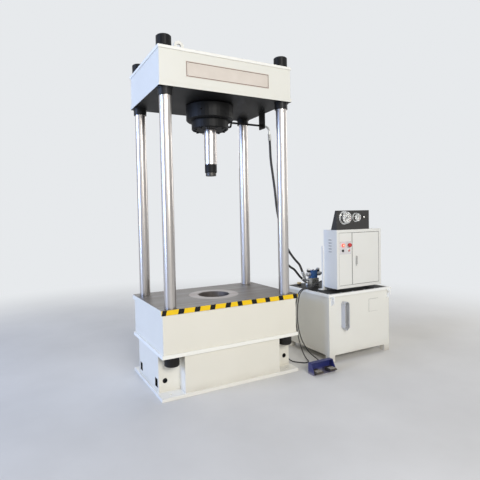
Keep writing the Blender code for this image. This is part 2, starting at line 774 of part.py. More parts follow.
def bed_frame(look):
    x, y = COLUMN_X + BED_MARGIN_X, COLUMN_Y + BED_MARGIN_Y
    lip = block((-x, -y, BED_BOTTOM), (x, y, LIP_TOP))
    top = block((-x, -y, BED_TOP - BED_PLATE), (x, y, BED_TOP))
    inner = (x - BED_BOX_INSET, y - BED_BOX_INSET)
    box = block((-inner[0], -inner[1], LIP_TOP - BED_LIP / 2), (*inner, BED_TOP - BED_PLATE / 2))
    frame = joined(box, lip, top)
    holes = [rod(DROP_HOLE_RADIUS, BED_TOP - LIP_TOP + OVERRUN, (0, 0, LIP_TOP), steps=FINE)]
    for place in corner_places(BED_BOTTOM - OVERRUN).values():
        holes.append(rod(COLUMN_END_RADIUS + GAP, BED_TOP - BED_BOTTOM + 2 * OVERRUN, place))
    for place in corner_places(COLUMN_SEAT).values():
        holes.append(rod(COLUMN_RADIUS + GAP, SPOTFACE_DEPTH + OVERRUN, place))
    piece("bed_frame", cut(frame, *holes), look)


def columns(look):
    foot = BED_BOTTOM - GAP - BASE_NUT_HEIGHT - THREAD_PROUD
    head = CROWN_TOP + GAP + TOP_NUT_HEIGHT - THREAD_PROUD
    thread, core = COLUMN_END_RADIUS, COLUMN_END_RADIUS - COLUMN_CHAMFER
    profile = [(0, foot), (core, foot), (thread, foot + COLUMN_CHAMFER)]
    profile += [(thread, COLUMN_SEAT + GAP), (COLUMN_RADIUS, COLUMN_SEAT + GAP)]
    profile += [(COLUMN_RADIUS, CROWN_BOTTOM - GAP), (thread, CROWN_BOTTOM - GAP)]
    profile += [(thread, head - COLUMN_CHAMFER), (core, head), (0, head)]
    copies("column", turned(profile), look, corner_places(0))


def column_nuts(look):
    bore = COLUMN_END_RADIUS + GAP
    lower = ring(bore, NUT_RADIUS, -GAP - BASE_NUT_HEIGHT, -GAP, chamfer=NUT_CHAMFER)
    copies("base_nut", lower, look, corner_places(BED_BOTTOM))
    upper = ring(bore, NUT_RADIUS, GAP, GAP + TOP_NUT_HEIGHT, chamfer=NUT_CHAMFER)
    copies("top_nut", upper, look, corner_places(CROWN_TOP))


def crown_frame(look):
    x, y = COLUMN_X + CROWN_MARGIN_X, COLUMN_Y + CROWN_MARGIN_Y
    bottom = block((-x, -y, CROWN_BOTTOM), (x, y, CROWN_BOTTOM + CROWN_BOTTOM_PLATE))
    top = block((-x, -y, CROWN_TOP - CROWN_TOP_PLATE), (x, y, CROWN_TOP))
    inner = (x - CROWN_BOX_INSET, y - CROWN_BOX_INSET)
    floor, roof = CROWN_BOTTOM + CROWN_BOTTOM_PLATE / 2, CROWN_TOP - CROWN_TOP_PLATE / 2
    parts = [bottom, top]
    for place in corner_places(CROWN_BOTTOM).values():
        profile = [(0, CROWN_BOTTOM_PLATE / 2), (BOSS_FLANGE_RADIUS, CROWN_BOTTOM_PLATE / 2)]
        profile += [(BOSS_FLANGE_RADIUS, -BOSS_FLANGE), (BOSS_RADIUS, -BOSS_FLANGE)]
        profile += [(BOSS_RADIUS, -BOSS_HEIGHT), (0, -BOSS_HEIGHT)]
        parts.append(turned(profile, place))
    plate = (BRACKET_THICKNESS / 2, BRACKET_WIDTH / 2)
    low = (BRACKET_X - plate[0], -plate[1], CROWN_BOTTOM - BRACKET_DROP)
    parts.append(block(low, (BRACKET_X + plate[0], plate[1], floor)))
    half = LIFTING_LUG_WIDTH / 2
    shape = [(half, -CROWN_TOP_PLATE / 2), *circle((0, LIFTING_LUG_HEIGHT - half), half, 8, 0, 180)]
    shape.append((-half, -CROWN_TOP_PLATE / 2))
    tools = []
    for side in (-1, 1):
        at_x = side * (COLUMN_X - LIFTING_LUG_INSET_X)
        at_y = side * (COLUMN_Y - LIFTING_LUG_INSET_Y) - LIFTING_LUG_THICKNESS / 2
        outline = [(at_x + u, CROWN_TOP + v) for u, v in shape]
        parts.append(prism(outline, "Y", at_y, at_y + LIFTING_LUG_THICKNESS))
        eye = (at_x, at_y - OVERRUN, CROWN_TOP + LIFTING_LUG_HEIGHT - half)
        through = LIFTING_LUG_THICKNESS + 2 * OVERRUN
        tools.append(rod(LIFTING_LUG_HOLE_RADIUS, through, eye, (0, 1, 0), COARSE))
    frame = joined(block((-inner[0], -inner[1], floor), (*inner, roof)), *parts)
    for place in corner_places(CROWN_BOTTOM - BOSS_HEIGHT - OVERRUN).values():
        depth = BOSS_HEIGHT + OVERRUN
        tools.append(rod(COLUMN_RADIUS + GAP, depth, place))
        tools.append(rod(COLUMN_END_RADIUS + GAP, depth + CROWN_HEIGHT + OVERRUN, place))
    tools.append(
        rod(BARREL_RADIUS + GAP, CROWN_HEIGHT + 2 * OVERRUN, (0, 0, CROWN_BOTTOM - OVERRUN), steps=FINE)
    )
    piece("crown_frame", cut(frame, *tools), look)


# Cylinder and ram


def cylinder(steel, black):
    profile = [(0, BARREL_TOP), (0, BORE_TOP), (BORE_RADIUS, BORE_TOP), (BORE_RADIUS, BARREL_BOTTOM)]
    profile += [(BARREL_RADIUS, BARREL_BOTTOM), (BARREL_RADIUS, CROWN_TOP + GAP)]
    seat, rim = CROWN_TOP + GAP, CROWN_TOP + GAP + BARREL_FLANGE
    profile += [(BARREL_FLANGE_RADIUS, seat), (BARREL_FLANGE_RADIUS, rim)]
    profile += [(BARREL_RADIUS, rim), (BARREL_RADIUS, BARREL_TOP)]
    bm_profile = profile[1:] + profile[:1]
    piece("cylinder_barrel", turned(bm_profile, steps=FINE), steel)

    nut = ring(
        BARREL_RADIUS + GAP, RING_RADIUS, BARREL_BOTTOM, CROWN_BOTTOM - GAP, steps=FINE, chamfer=RING_CHAMFER
    )
    holes = []
    for number in range(4):
        turn = tau * (number + 1 / 2) / 4
        way = Vector((cos(turn), sin(turn), 0))
        start = way * (RING_RADIUS + OVERRUN) + Vector((0, 0, CROWN_BOTTOM - BARREL_DROP / 2))
        holes.append(rod(SPANNER_HOLE_RADIUS, SPANNER_HOLE_DEPTH + OVERRUN, start, -way, COARSE))
    piece("cylinder_ring_nut", cut(nut, *holes), black)

    gland = turned(
        [
            (ROD_RADIUS + GAP, GLAND_BOTTOM), (GLAND_RADIUS - GLAND_CHAMFER, GLAND_BOTTOM),
            (GLAND_RADIUS, GLAND_BOTTOM + GLAND_CHAMFER), (GLAND_RADIUS, BARREL_BOTTOM - GAP),
            (ROD_RADIUS + GAP, BARREL_BOTTOM - GAP),
        ],
        steps=FINE,
    )
    screws = []
    for number in range(GLAND_SCREWS):
        turn = tau * number / GLAND_SCREWS
        way = Vector((cos(turn), sin(turn), 0))
        place = way * GLAND_SCREW_PITCH_RADIUS + Vector((0, 0, GLAND_BOTTOM + OVERRUN))
        screws.append(rod(GLAND_SCREW_RADIUS, GLAND_SCREW_HEAD + OVERRUN, place, (0, 0, -1), 8))
    piece("gland_ring", joined(gland, *screws), black)


def ram(chrome, black):
    foot = SHOULDER - STUB_LENGTH
    under = PISTON_TOP - PISTON_LENGTH
    head = BORE_RADIUS - GAP
    profile = [(0, foot + STUB_HOLE_DEPTH), (STUB_HOLE_RADIUS, foot + STUB_HOLE_DEPTH)]
    profile += [(STUB_HOLE_RADIUS, foot), (STUB_RADIUS, foot), (STUB_RADIUS, SHOULDER)]
    profile += [(ROD_RADIUS, SHOULDER), (ROD_RADIUS, under), (head, under)]
    for share in (1, 2):
        middle = under + PISTON_LENGTH * share / 3
        groove = (head - SEAL_DEPTH, middle - SEAL_WIDTH / 2), (head - SEAL_DEPTH, middle + SEAL_WIDTH / 2)
        profile += [(head, groove[0][1]), *groove, (head, groove[1][1])]
    profile += [(head, PISTON_TOP), (0, PISTON_TOP)]
    piece("ram", turned(profile, steps=FINE), chrome, (0, 0, SHOULDER))
    top = SHOULDER - GAP
    collar = ring(
        STUB_RADIUS + GAP, ROD_COLLAR_RADIUS, top - ROD_COLLAR_HEIGHT, top,
        steps=FINE, chamfer=ROD_COLLAR_CHAMFER,
    )
    piece("rod_collar", collar, black, (0, 0, SHOULDER))


# Pipes and hoses


def crimp(at, toward):
    """The swaged sleeve that a hose ends in."""
    return rod(CRIMP_RADIUS, CRIMP_LENGTH, at, toward, COARSE, CRIMP_CHAMFER)


def pipe_nut(at, toward, length=PIPE_NUT_LENGTH):
    return rod(PIPE_NUT_RADIUS, length, at, toward, 6)


def hydraulics(black, zinc, rubber):
    port = GLAND_BOTTOM + GLAND_HEIGHT - ROD_PORT_DROP
    level = port + ROD_PIPE_RISE
    start = GLAND_RADIUS + GAP
    rise = start + ROD_PIPE_REACH
    end = BRACKET_X - BRACKET_THICKNESS / 2 - GAP
    corners = ((start, 0, port), (rise, 0, port), (rise, 0, level), (end, 0, level))
    line = bent(corners, ROD_PIPE_RISE / 2 - GAP)
    pipe = solid(tube(line, PIPE_RADIUS))
    flange = rod(PIPE_FLANGE_RADIUS, PIPE_FLANGE, (start, 0, port), (1, 0, 0), COARSE)
    piece("rod_port_pipe", joined(pipe, flange, pipe_nut((end, 0, level), (-1, 0, 0))), black)

    begin = BRACKET_X + BRACKET_THICKNESS / 2 + GAP
    turn = Vector((begin + ELBOW_SIZE, 0, level))
    path = beside_base(ROD_HOSE_ROUTE)
    down = Vector((path[0].x - turn.x, 0, path[0].z - turn.z)).normalized()
    top = turn + down * ELBOW_SIZE
    line = bent(((begin, 0, level), turn, top + down * PIPE_RADIUS), ELBOW_SIZE * 3 / 4)
    elbow = solid(tube(line, PIPE_RADIUS))
    fitting = joined(elbow, pipe_nut((begin, 0, level), (1, 0, 0)), crimp(top, down))
    piece("rod_hose_upper_fitting", fitting, zinc)
    rod_start = top + down * (CRIMP_LENGTH + GAP)

    middle = MANIFOLD_FRONT + MANIFOLD_DEPTH / 2
    side = Vector((MANIFOLD_LEFT - GAP, middle, COVER_TOP + MANIFOLD_HEIGHT * 4 / 5))
    knee = side - Vector((ELBOW_SIZE * 3 / 4, 0, 0))
    lean = (path[-1] - knee).normalized()
    crimp_foot = knee + lean * ELBOW_SIZE / 2
    line = bent((side, knee, crimp_foot + lean * PIPE_RADIUS), ELBOW_SIZE / 3)
    fitting = joined(solid(tube(line, PIPE_RADIUS)), pipe_nut(side, (-1, 0, 0)), crimp(crimp_foot, lean))
    piece("rod_hose_lower_fitting", fitting, zinc)
    rod_end = crimp_foot + lean * (CRIMP_LENGTH + GAP)
    straight = 2 * HOSE_RADIUS
    route = (rod_start, rod_start + down * straight, *path, rod_end + lean * straight, rod_end)
    cord("rod_hose", smooth(route, HOSE_STEP), HOSE_RADIUS, rubber)

    bottom = BARREL_TOP + GAP
    height = bottom + CAP_PIPE_RISE
    reach = COLUMN_X + CAP_PIPE_OUTSET
    line = bent(((0, 0, bottom), (0, 0, height), (reach, 0, height)), PIPE_BEND)
    flange = rod(PIPE_FLANGE_RADIUS, PIPE_FLANGE, (0, 0, bottom), steps=COARSE)
    out = Vector((1, 0, 0))
    sleeve = crimp((reach - PIPE_RADIUS, 0, height), out)
    piece("cap_port_pipe", joined(solid(tube(line, PIPE_RADIUS)), flange, sleeve), zinc)
    cap_start = Vector((reach - PIPE_RADIUS + CRIMP_LENGTH + GAP, 0, height))

    behind = MANIFOLD_FRONT + MANIFOLD_DEPTH + 2 * PIPE_NUT_RADIUS
    stud = Vector((MANIFOLD_LEFT + PIPE_NUT_RADIUS, behind, COVER_TOP + GAP))
    knee = stud + Vector((0, 0, PIPE_NUT_LENGTH + PIPE_RADIUS))
    path = beside_base(CAP_HOSE_ROUTE)
    lean = (path[-1] + Vector((0, 0, -ELBOW_SIZE / 3)) - knee).normalized()
    crimp_foot = knee + lean * ELBOW_SIZE / 3
    line = bent((stud, knee, crimp_foot + lean * PIPE_RADIUS), PIPE_NUT_LENGTH)
    fitting = joined(solid(tube(line, PIPE_RADIUS)), pipe_nut(stud, (0, 0, 1)), crimp(crimp_foot, lean))
    piece("cap_hose_lower_fitting", fitting, zinc)
    cap_end = crimp_foot + lean * (CRIMP_LENGTH + GAP)
    route = (cap_start, cap_start + out * straight, *path, cap_end + lean * straight, cap_end)
    cord("cap_hose", smooth(route, HOSE_STEP), HOSE_RADIUS, rubber)


# Oil tank


def tank_body(look):
    outside = ((TANK_LEFT, TANK_FRONT), (TANK_RIGHT, TANK_BACK))
    shell = block((*outside[0], TANK_FOOT), (*outside[1], TANK_TOP - RIM_HEIGHT / 2))
    low = (TANK_LEFT - RIM_PROUD, TANK_FRONT - RIM_PROUD, TANK_TOP - RIM_HEIGHT)
    rim = block(low, (TANK_RIGHT + RIM_PROUD, TANK_BACK + RIM_PROUD, TANK_TOP))
    parts = [rim]
    for x in (TANK_LEFT, TANK_RIGHT - LEG_WIDTH):
        for y in (TANK_FRONT, TANK_BACK - LEG_DEPTH):
            parts.append(block((x, y, 0), (x + LEG_WIDTH, y + LEG_DEPTH, TANK_FOOT + TANK_WALL / 2)))
    top = TANK_TOP - RIM_HEIGHT / 2
    ear = [(TANK_FRONT + TANK_WALL / 2, top), (TANK_FRONT + TANK_WALL / 2, top - EAR_HEIGHT)]
    ear += [(TANK_FRONT, top - EAR_HEIGHT)]
    ear += circle((TANK_FRONT, top - EAR_REACH), EAR_REACH, 6, 240, -60)[1:]
    ear += circle((TANK_FRONT - EAR_REACH / 2, top - EAR_REACH / 2), EAR_REACH / 2, 4, 180, -90)
    tools = []
    for x in (TANK_LEFT + EAR_INSET, TANK_RIGHT - EAR_INSET - EAR_THICKNESS):
        parts.append(prism(ear, "X", x, x + EAR_THICKNESS))
        eye = (x - OVERRUN, TANK_FRONT - EAR_REACH / 2, top - EAR_REACH / 2 - RIM_HEIGHT / 2)
        tools.append(rod(EAR_HOLE_RADIUS, EAR_THICKNESS + 2 * OVERRUN, eye, (1, 0, 0), 10))
    left = TANK_LEFT + BLANK_PLATE_INSET
    high = (left + BLANK_PLATE_SIZE, TANK_FRONT + TANK_WALL / 2, TANK_TOP - BLANK_PLATE_DROP)
    low = (left, TANK_FRONT - BLANK_PLATE_PROUD, high[2] - BLANK_PLATE_SIZE)
    parts.append(block(low, high))
    low = (TANK_LEFT + TANK_WALL, TANK_FRONT + TANK_WALL, TANK_FOOT + TANK_WALL)
    ledge = COVER_BOTTOM - GAP - LEDGE_HEIGHT
    tools.append(block(low, (TANK_RIGHT - TANK_WALL, TANK_BACK - TANK_WALL, ledge)))
    low = (TANK_LEFT + LEDGE_WIDTH, TANK_FRONT + LEDGE_WIDTH, ledge - OVERRUN)
    tools.append(block(low, (TANK_RIGHT - LEDGE_WIDTH, TANK_BACK - LEDGE_WIDTH, COVER_BOTTOM)))
    low = (TANK_LEFT + TANK_WALL, TANK_FRONT + TANK_WALL, COVER_BOTTOM - GAP)
    tools.append(block(low, (TANK_RIGHT - TANK_WALL, TANK_BACK - TANK_WALL, TANK_TOP + OVERRUN)))
    piece("tank_body", cut(joined(shell, *parts), *tools), look)


def tank_cover(look):
    edge = TANK_WALL + GAP
    low = (TANK_LEFT + edge, TANK_FRONT + edge, COVER_BOTTOM)
    cover = block(low, (TANK_RIGHT - edge, TANK_BACK - edge, COVER_TOP))
    neck = rod(FILLER_RADIUS, FILLER_NECK + OVERRUN, (FILLER_X, FILLER_Y, COVER_TOP - OVERRUN), steps=COARSE)
    well = rod(PUMP_RADIUS + GAP, COVER_THICKNESS + 2 * OVERRUN, (MOTOR_X, MOTOR_Y, COVER_BOTTOM - OVERRUN))
    piece("tank_cover", cut(joined(cover, neck), well), look)


def filler_cap(look):
    bottom = COVER_TOP + FILLER_NECK + GAP
    seat = (FILLER_X, FILLER_Y, bottom)
    cap = rod(FILLER_CAP_RADIUS, FILLER_CAP_HEIGHT, seat, steps=20, chamfer=FILLER_GRIP_RADIUS)
    grips = []
    for number in range(FILLER_GRIPS):
        turn = tau * number / FILLER_GRIPS
        across, along = FILLER_CAP_RADIUS * cos(turn), FILLER_CAP_RADIUS * sin(turn)
        place = (FILLER_X + across, FILLER_Y + along, bottom - OVERRUN)
        grips.append(rod(FILLER_GRIP_RADIUS / 2, FILLER_CAP_HEIGHT + 2 * OVERRUN, place, steps=6))
    piece("filler_cap", cut(cap, *grips), look, (FILLER_X, FILLER_Y, bottom))


def level_gauge(steel, look):
    face = TANK_FRONT - GAP
    parts = []
    for z in (LEVEL_TOP - LEVEL_PITCH, LEVEL_TOP):
        half = LEVEL_BLOCK / 2
        low = (LEVEL_X - half, face - LEVEL_BLOCK_DEPTH, z - half)
        parts.append(block(low, (LEVEL_X + half, face, z + half)))
        head = (LEVEL_X, face - LEVEL_BLOCK_DEPTH + OVERRUN, z)
        parts.append(rod(LEVEL_SCREW_RADIUS, LEVEL_SCREW_HEAD + OVERRUN, head, (0, -1, 0), COARSE, OVERRUN))
    bottom = (LEVEL_X, face - LEVEL_BLOCK_DEPTH / 2, LEVEL_TOP - LEVEL_PITCH)
    piece("level_gauge", joined(rod(LEVEL_TUBE_RADIUS, LEVEL_PITCH, bottom, steps=COARSE), *parts), steel)

    def outline(inset):
        half = GUARD_WIDTH / 2 - inset
        arch = circle((LEVEL_X, GUARD_TOP - GUARD_WIDTH / 2), half, 10, 0, 180)
        low = GUARD_BOTTOM + GUARD_POINT
        return [*arch, (LEVEL_X - half, low), (LEVEL_X, GUARD_BOTTOM + inset), (LEVEL_X + half, low)]

    guard = prism(outline(0), "Y", face - GUARD_DEPTH, face)
    slot = prism(outline(GUARD_WALL), "Y", face - GUARD_DEPTH - OVERRUN, face + OVERRUN)
    piece("level_guard", cut(guard, slot), look)


# Motor and pump


def motor(paint, black, steel):
    axis = (MOTOR_X, MOTOR_Y)
    seat = COVER_TOP + GAP + BELL_HEIGHT + GAP
    top = seat + MOTOR_HEIGHT
    points = []
    for number in range(FIN_COUNT):
        for share, height in zip(FIN_SHARES, (0, FIN_HEIGHT, FIN_HEIGHT, 0)):
            turn = tau * (number + share) / FIN_COUNT
            radius = MOTOR_RADIUS + height
            points.append((MOTOR_X + radius * cos(turn), MOTOR_Y + radius * sin(turn)))
    stator = prism(points, "Z", seat + MOTOR_FLANGE / 2, top)
    flange = rod(MOTOR_FLANGE_RADIUS, MOTOR_FLANGE, (*axis, seat))
    middle = (seat + top) / 2
    half, rise = TERMINAL_BOX / 2, TERMINAL_BOX_HEIGHT / 2
    low = (MOTOR_X + MOTOR_RADIUS / 2, MOTOR_Y - half, middle - rise)
    high = (MOTOR_X + MOTOR_RADIUS + half, MOTOR_Y + half, middle + rise)
    frame = joined(stator, flange, block(low, high))
    bore = rod(MOTOR_BORE_RADIUS, MOTOR_HEIGHT - 2 * END_PLATE, (*axis, seat + END_PLATE))
    clear = SHAFT_RADIUS + SHAFT_CLEARANCE
    shaft = rod(clear, MOTOR_HEIGHT + 2 * OVERRUN, (*axis, seat - OVERRUN), steps=COARSE)
    piece("motor_frame", cut(frame, joined(bore, shaft)), paint)

    roof = top + GAP + COWL_HEIGHT
    profile = [(COWL_RADIUS, top + GAP), (COWL_RADIUS, roof), (0, roof), (0, roof - COWL_WALL)]
    profile += [(COWL_RADIUS - COWL_WALL, roof - COWL_WALL), (COWL_RADIUS - COWL_WALL, top + GAP)]
    profile = profile[3:] + profile[:3]
    cowl = turned([(r, z) for r, z in profile], (*axis, 0))
    slots = []
    for number in range(COWL_SLOTS):
        offset = (number + 1 / 2 - COWL_SLOTS / 2) * 2 * COWL_SLOT_WIDTH
        reach = (FAN_RADIUS * FAN_RADIUS - offset * offset) ** 0.5
        low = (axis[0] - reach, axis[1] + offset - COWL_SLOT_WIDTH / 2, roof - 2 * COWL_WALL)
        slots.append(block(low, (axis[0] + reach, axis[1] + offset + COWL_SLOT_WIDTH / 2, roof + OVERRUN)))
    piece("fan_cowl", cut(cowl, *slots), black)

    foot = COVER_TOP + BELL_HEIGHT / 4
    fan_bottom = top + FAN_CLEARANCE
    fan_top = fan_bottom + FAN_HEIGHT
    rotor = (seat + END_PLATE + ROTOR_CLEARANCE, top - END_PLATE - ROTOR_CLEARANCE)
    spindle = [(0, foot), (COUPLING_RADIUS, foot), (COUPLING_RADIUS, foot + COUPLING_HEIGHT)]
    spindle += [(SHAFT_RADIUS, foot + COUPLING_HEIGHT), (SHAFT_RADIUS, rotor[0])]
    spindle += [(ROTOR_RADIUS, rotor[0]), (ROTOR_RADIUS, rotor[1])]
    spindle += [(SHAFT_RADIUS, rotor[1]), (SHAFT_RADIUS, fan_bottom)]
    spindle += [(FAN_HUB_RADIUS, fan_bottom), (FAN_HUB_RADIUS, fan_top), (0, fan_top)]
    blades = []
    low = (FAN_HUB_RADIUS / 2, -FAN_BLADE / 2, fan_bottom)
    for number in range(FAN_BLADES):
        blade = block(low, (FAN_RADIUS, FAN_BLADE / 2, fan_top - FAN_BLADE))
        turn = Matrix.Rotation(tau * number / FAN_BLADES, 4, "Z")
        blade.data.transform(Matrix.Translation((*axis, 0)) @ turn)
        blades.append(blade)
    piece("motor_rotor", joined(turned(spindle, (*axis, 0)), *blades), steel, (*axis, seat))

    floor = COVER_TOP + GAP
    ledge, pump_end = floor + BELL_WALL, floor - PUMP_HEIGHT
    strainer_top = pump_end - SUCTION_LENGTH
    strainer_end = strainer_top - STRAINER_HEIGHT
    foot_radius = PUMP_RADIUS + 3 * BELL_WALL
    wall = [(0, ledge), (BELL_RADIUS - BELL_WALL, ledge), (BELL_RADIUS - BELL_WALL, seat - GAP)]
    wall += [(MOTOR_FLANGE_RADIUS, seat - GAP), (MOTOR_FLANGE_RADIUS, seat - GAP - BELL_WALL)]
    wall += [(BELL_RADIUS, seat - GAP - BELL_WALL), (BELL_RADIUS, ledge), (foot_radius, ledge)]
    wall += [(foot_radius, floor), (PUMP_RADIUS, floor), (PUMP_RADIUS, pump_end)]
    wall += [(SUCTION_RADIUS, pump_end), (SUCTION_RADIUS, strainer_top)]
    wall += [(STRAINER_RADIUS, strainer_top), (STRAINER_RADIUS, strainer_end), (0, strainer_end)]
    bell = turned(wall, (*axis, 0))
    low = (-2 * MOTOR_RADIUS, -BELL_WINDOW_WIDTH / 2, floor + 2 * BELL_WALL)
    high = (2 * MOTOR_RADIUS, BELL_WINDOW_WIDTH / 2, floor + 2 * BELL_WALL + BELL_WINDOW_HEIGHT)
    window = block(low, high)
    window.data.transform(Matrix.Translation((*axis, 0)))
    piece("pump", cut(bell, window), steel)


# Manifold and valve


def valve_group(steel, blue, black):
    left, front, bottom = MANIFOLD_LEFT, MANIFOLD_FRONT, COVER_TOP + GAP
    right, back, top = left + MANIFOLD_WIDTH, front + MANIFOLD_DEPTH, bottom + MANIFOLD_HEIGHT
    piece("manifold_block", block((left, front, bottom), (right, back, top)), steel)

    x0 = left + VALVE_MARGIN
    y0 = (front + back) / 2 - VALVE_DEPTH / 2
    z0 = top + GAP
    low, high = (x0, z0), (x0 + VALVE_WIDTH, z0 + VALVE_HEIGHT)
    body = prism(rounded(low, high, VALVE_INSET, 2), "Y", y0, y0 + VALVE_DEPTH)
    middle = ((front + back) / 2, z0 + VALVE_HEIGHT / 2)
    spigot = rod(SPIGOT_RADIUS, VALVE_WIDTH + 2 * VALVE_INSET, (x0 - VALVE_INSET, *middle), (1, 0, 0), COARSE)
    piece("valve_body", joined(body, spigot), blue)

    starts = (x0 - VALVE_INSET - GAP, x0 + VALVE_WIDTH + VALVE_INSET + GAP)
    sides = zip(("left_solenoid", "right_solenoid"), starts, (-1, 1), SOLENOID_LENGTHS, OVERRIDE_LENGTHS)
    for name, start, way, length, extra in sides:
        toward = (way, 0, 0)
        coil = rod(SOLENOID_RADIUS, length, (start, *middle), toward, COARSE, SOLENOID_CHAMFER)
        end = start + way * (length - SOLENOID_CHAMFER)
        override = rod(OVERRIDE_RADIUS, extra + SOLENOID_CHAMFER, (end, *middle), toward, COARSE)
        centre = start + way * length / 2
        foot = middle[1] + SOLENOID_RADIUS
        half = PLUG_WIDTH / 2
        low = (centre - half, middle[0] - half, foot - SOLENOID_RADIUS / 2)
        plug = block(low, (centre + half, middle[0] + half, foot + PLUG_HEIGHT))
        piece(name, joined(coil, override, plug), black)


# Control cabinet


def cabinet_stand(look):
    back = CABINET_BACK + GAP
    bottom = COVER_TOP + GAP
    posts = []
    for x in (CABINET_LEFT - STAND_POST / 2, CABINET_RIGHT - STAND_POST):
        posts.append(block((x, back, bottom), (x + STAND_POST, back + STAND_DEPTH, bottom + STAND_HEIGHT)))
        middle = x + STAND_POST / 2
        half = STAND_FOOT_WIDTH / 2
        high = (middle + half, back + STAND_FOOT_DEPTH, bottom + STAND_FOOT)
        posts.append(block((middle - half, back, bottom), high))
    level = bottom + STAND_HEIGHT - STAND_POST
    bar = block(
        (CABINET_LEFT, back + STAND_FOOT, level),
        (CABINET_RIGHT - STAND_POST / 2, back + STAND_DEPTH - OVERRUN, level + STAND_POST - OVERRUN),
    )
    piece("cabinet_stand", joined(bar, *posts), look)


def cabinet_body(look):
    low = (CABINET_LEFT, CABINET_FRONT, CABINET_BOTTOM)
    body = block(low, (CABINET_RIGHT, CABINET_BACK, CABINET_TOP))
    wall = CABINET_WALL
    inside = block(
        (CABINET_LEFT + wall, CABINET_FRONT + CABINET_RETURN + PANEL_RECESS, CABINET_BOTTOM + wall),
        (CABINET_RIGHT - wall, CABINET_BACK - wall, CABINET_TOP - wall),
    )
    panel_left = CABINET_LEFT + CABINET_FRAME
    recess = block(
        (panel_left, CABINET_FRONT - OVERRUN, OPENING_BOTTOM),
        (CABINET_RIGHT - CABINET_FRAME, PANEL_FRONT, OPENING_TOP),
    )
    doorway = block(
        (DOOR_LEFT - DOOR_GAP, CABINET_FRONT - OVERRUN, OPENING_BOTTOM),
        (CABINET_RIGHT - CABINET_FRAME, CABINET_FRONT + 2 * CABINET_RETURN, OPENING_TOP),
    )
    back_of_panel = block(
        (panel_left, PANEL_FRONT + wall, OPENING_BOTTOM),
        (DOOR_LEFT - DOOR_GAP - CABINET_RETURN, CABINET_FRONT + 2 * CABINET_RETURN, OPENING_TOP),
    )
    tools = [inside, recess, doorway, back_of_panel]
    for number in range(LOUVRES):
        z = CABINET_BOTTOM + LOUVRE_BOTTOM + number * LOUVRE_PITCH
        y = CABINET_FRONT + LOUVRE_INSET
        low = (CABINET_LEFT - OVERRUN, y, z)
        tools.append(block(low, (CABINET_LEFT + 2 * wall, y + LOUVRE_WIDTH, z + LOUVRE_HEIGHT)))
    pin = (DOOR_RIGHT - DOOR_PIN_INSET_X, PANEL_FRONT + DOOR_PIN_INSET_Y)
    hole = DOOR_PIN_LENGTH + OVERRUN
    for z in (OPENING_TOP - OVERRUN / 2, OPENING_BOTTOM + OVERRUN / 2 - hole):
        tools.append(rod(DOOR_PIN_RADIUS + DOOR_PIN_CLEARANCE, hole, (*pin, z), steps=COARSE))
    half, rise = BUTTON_PLATE_WIDTH / 2, BUTTON_PLATE_HEIGHT / 2
    plate = block(
        (BUTTON_PLATE_X - half, PANEL_FRONT - BUTTON_PLATE_PROUD, BUTTON_PLATE_Z - rise),
        (BUTTON_PLATE_X + half, PANEL_FRONT + wall / 2, BUTTON_PLATE_Z + rise),
    )
    body = joined(cut(body, *tools), plate)
    holes = []
    for x, z in ((-1, 1), (1, 1), (-1, -1)):
        place = button_place(x, z, OVERRUN)
        depth = BUTTON_PLATE_PROUD + wall + 2 * OVERRUN
        holes.append(rod(BUTTON_SHANK_RADIUS + BUTTON_CLEARANCE, depth, place, (0, 1, 0), COARSE))
    body = cut(body, *holes)
    place = button_place(1, -1, PILOT_HEIGHT)
    pilot = rod(PILOT_RADIUS, PILOT_HEIGHT + BUTTON_PLATE_PROUD, place, (0, 1, 0), COARSE, BUTTON_CHAMFER)
    glands = []
    for number in range(2):
        place = cable_exit(number) - Vector((0, wall / 2, 0))
        glands.append(rod(CABLE_GLAND_RADIUS, CABLE_GLAND_LENGTH + wall / 2, place, (0, 1, 0), COARSE))
    piece("cabinet_body", joined(body, pilot, *glands), look)


def cable_exit(number):
    """Where a cable's gland stands on the back of the cabinet."""
    across = CABINET_LEFT + CABLE_START_INSET + number * CABLE_PITCH
    return Vector((across, CABINET_BACK, CABINET_BOTTOM + CABLE_START_RISE))


def button_place(x, z, proud):
    """A control's centre, this far in front of the button plate."""
    across = BUTTON_PLATE_X + x * BUTTON_PITCH_X / 2
    up = BUTTON_PLATE_Z + z * BUTTON_PITCH_Z / 2
    return Vector((across, PANEL_FRONT - BUTTON_PLATE_PROUD - proud, up))


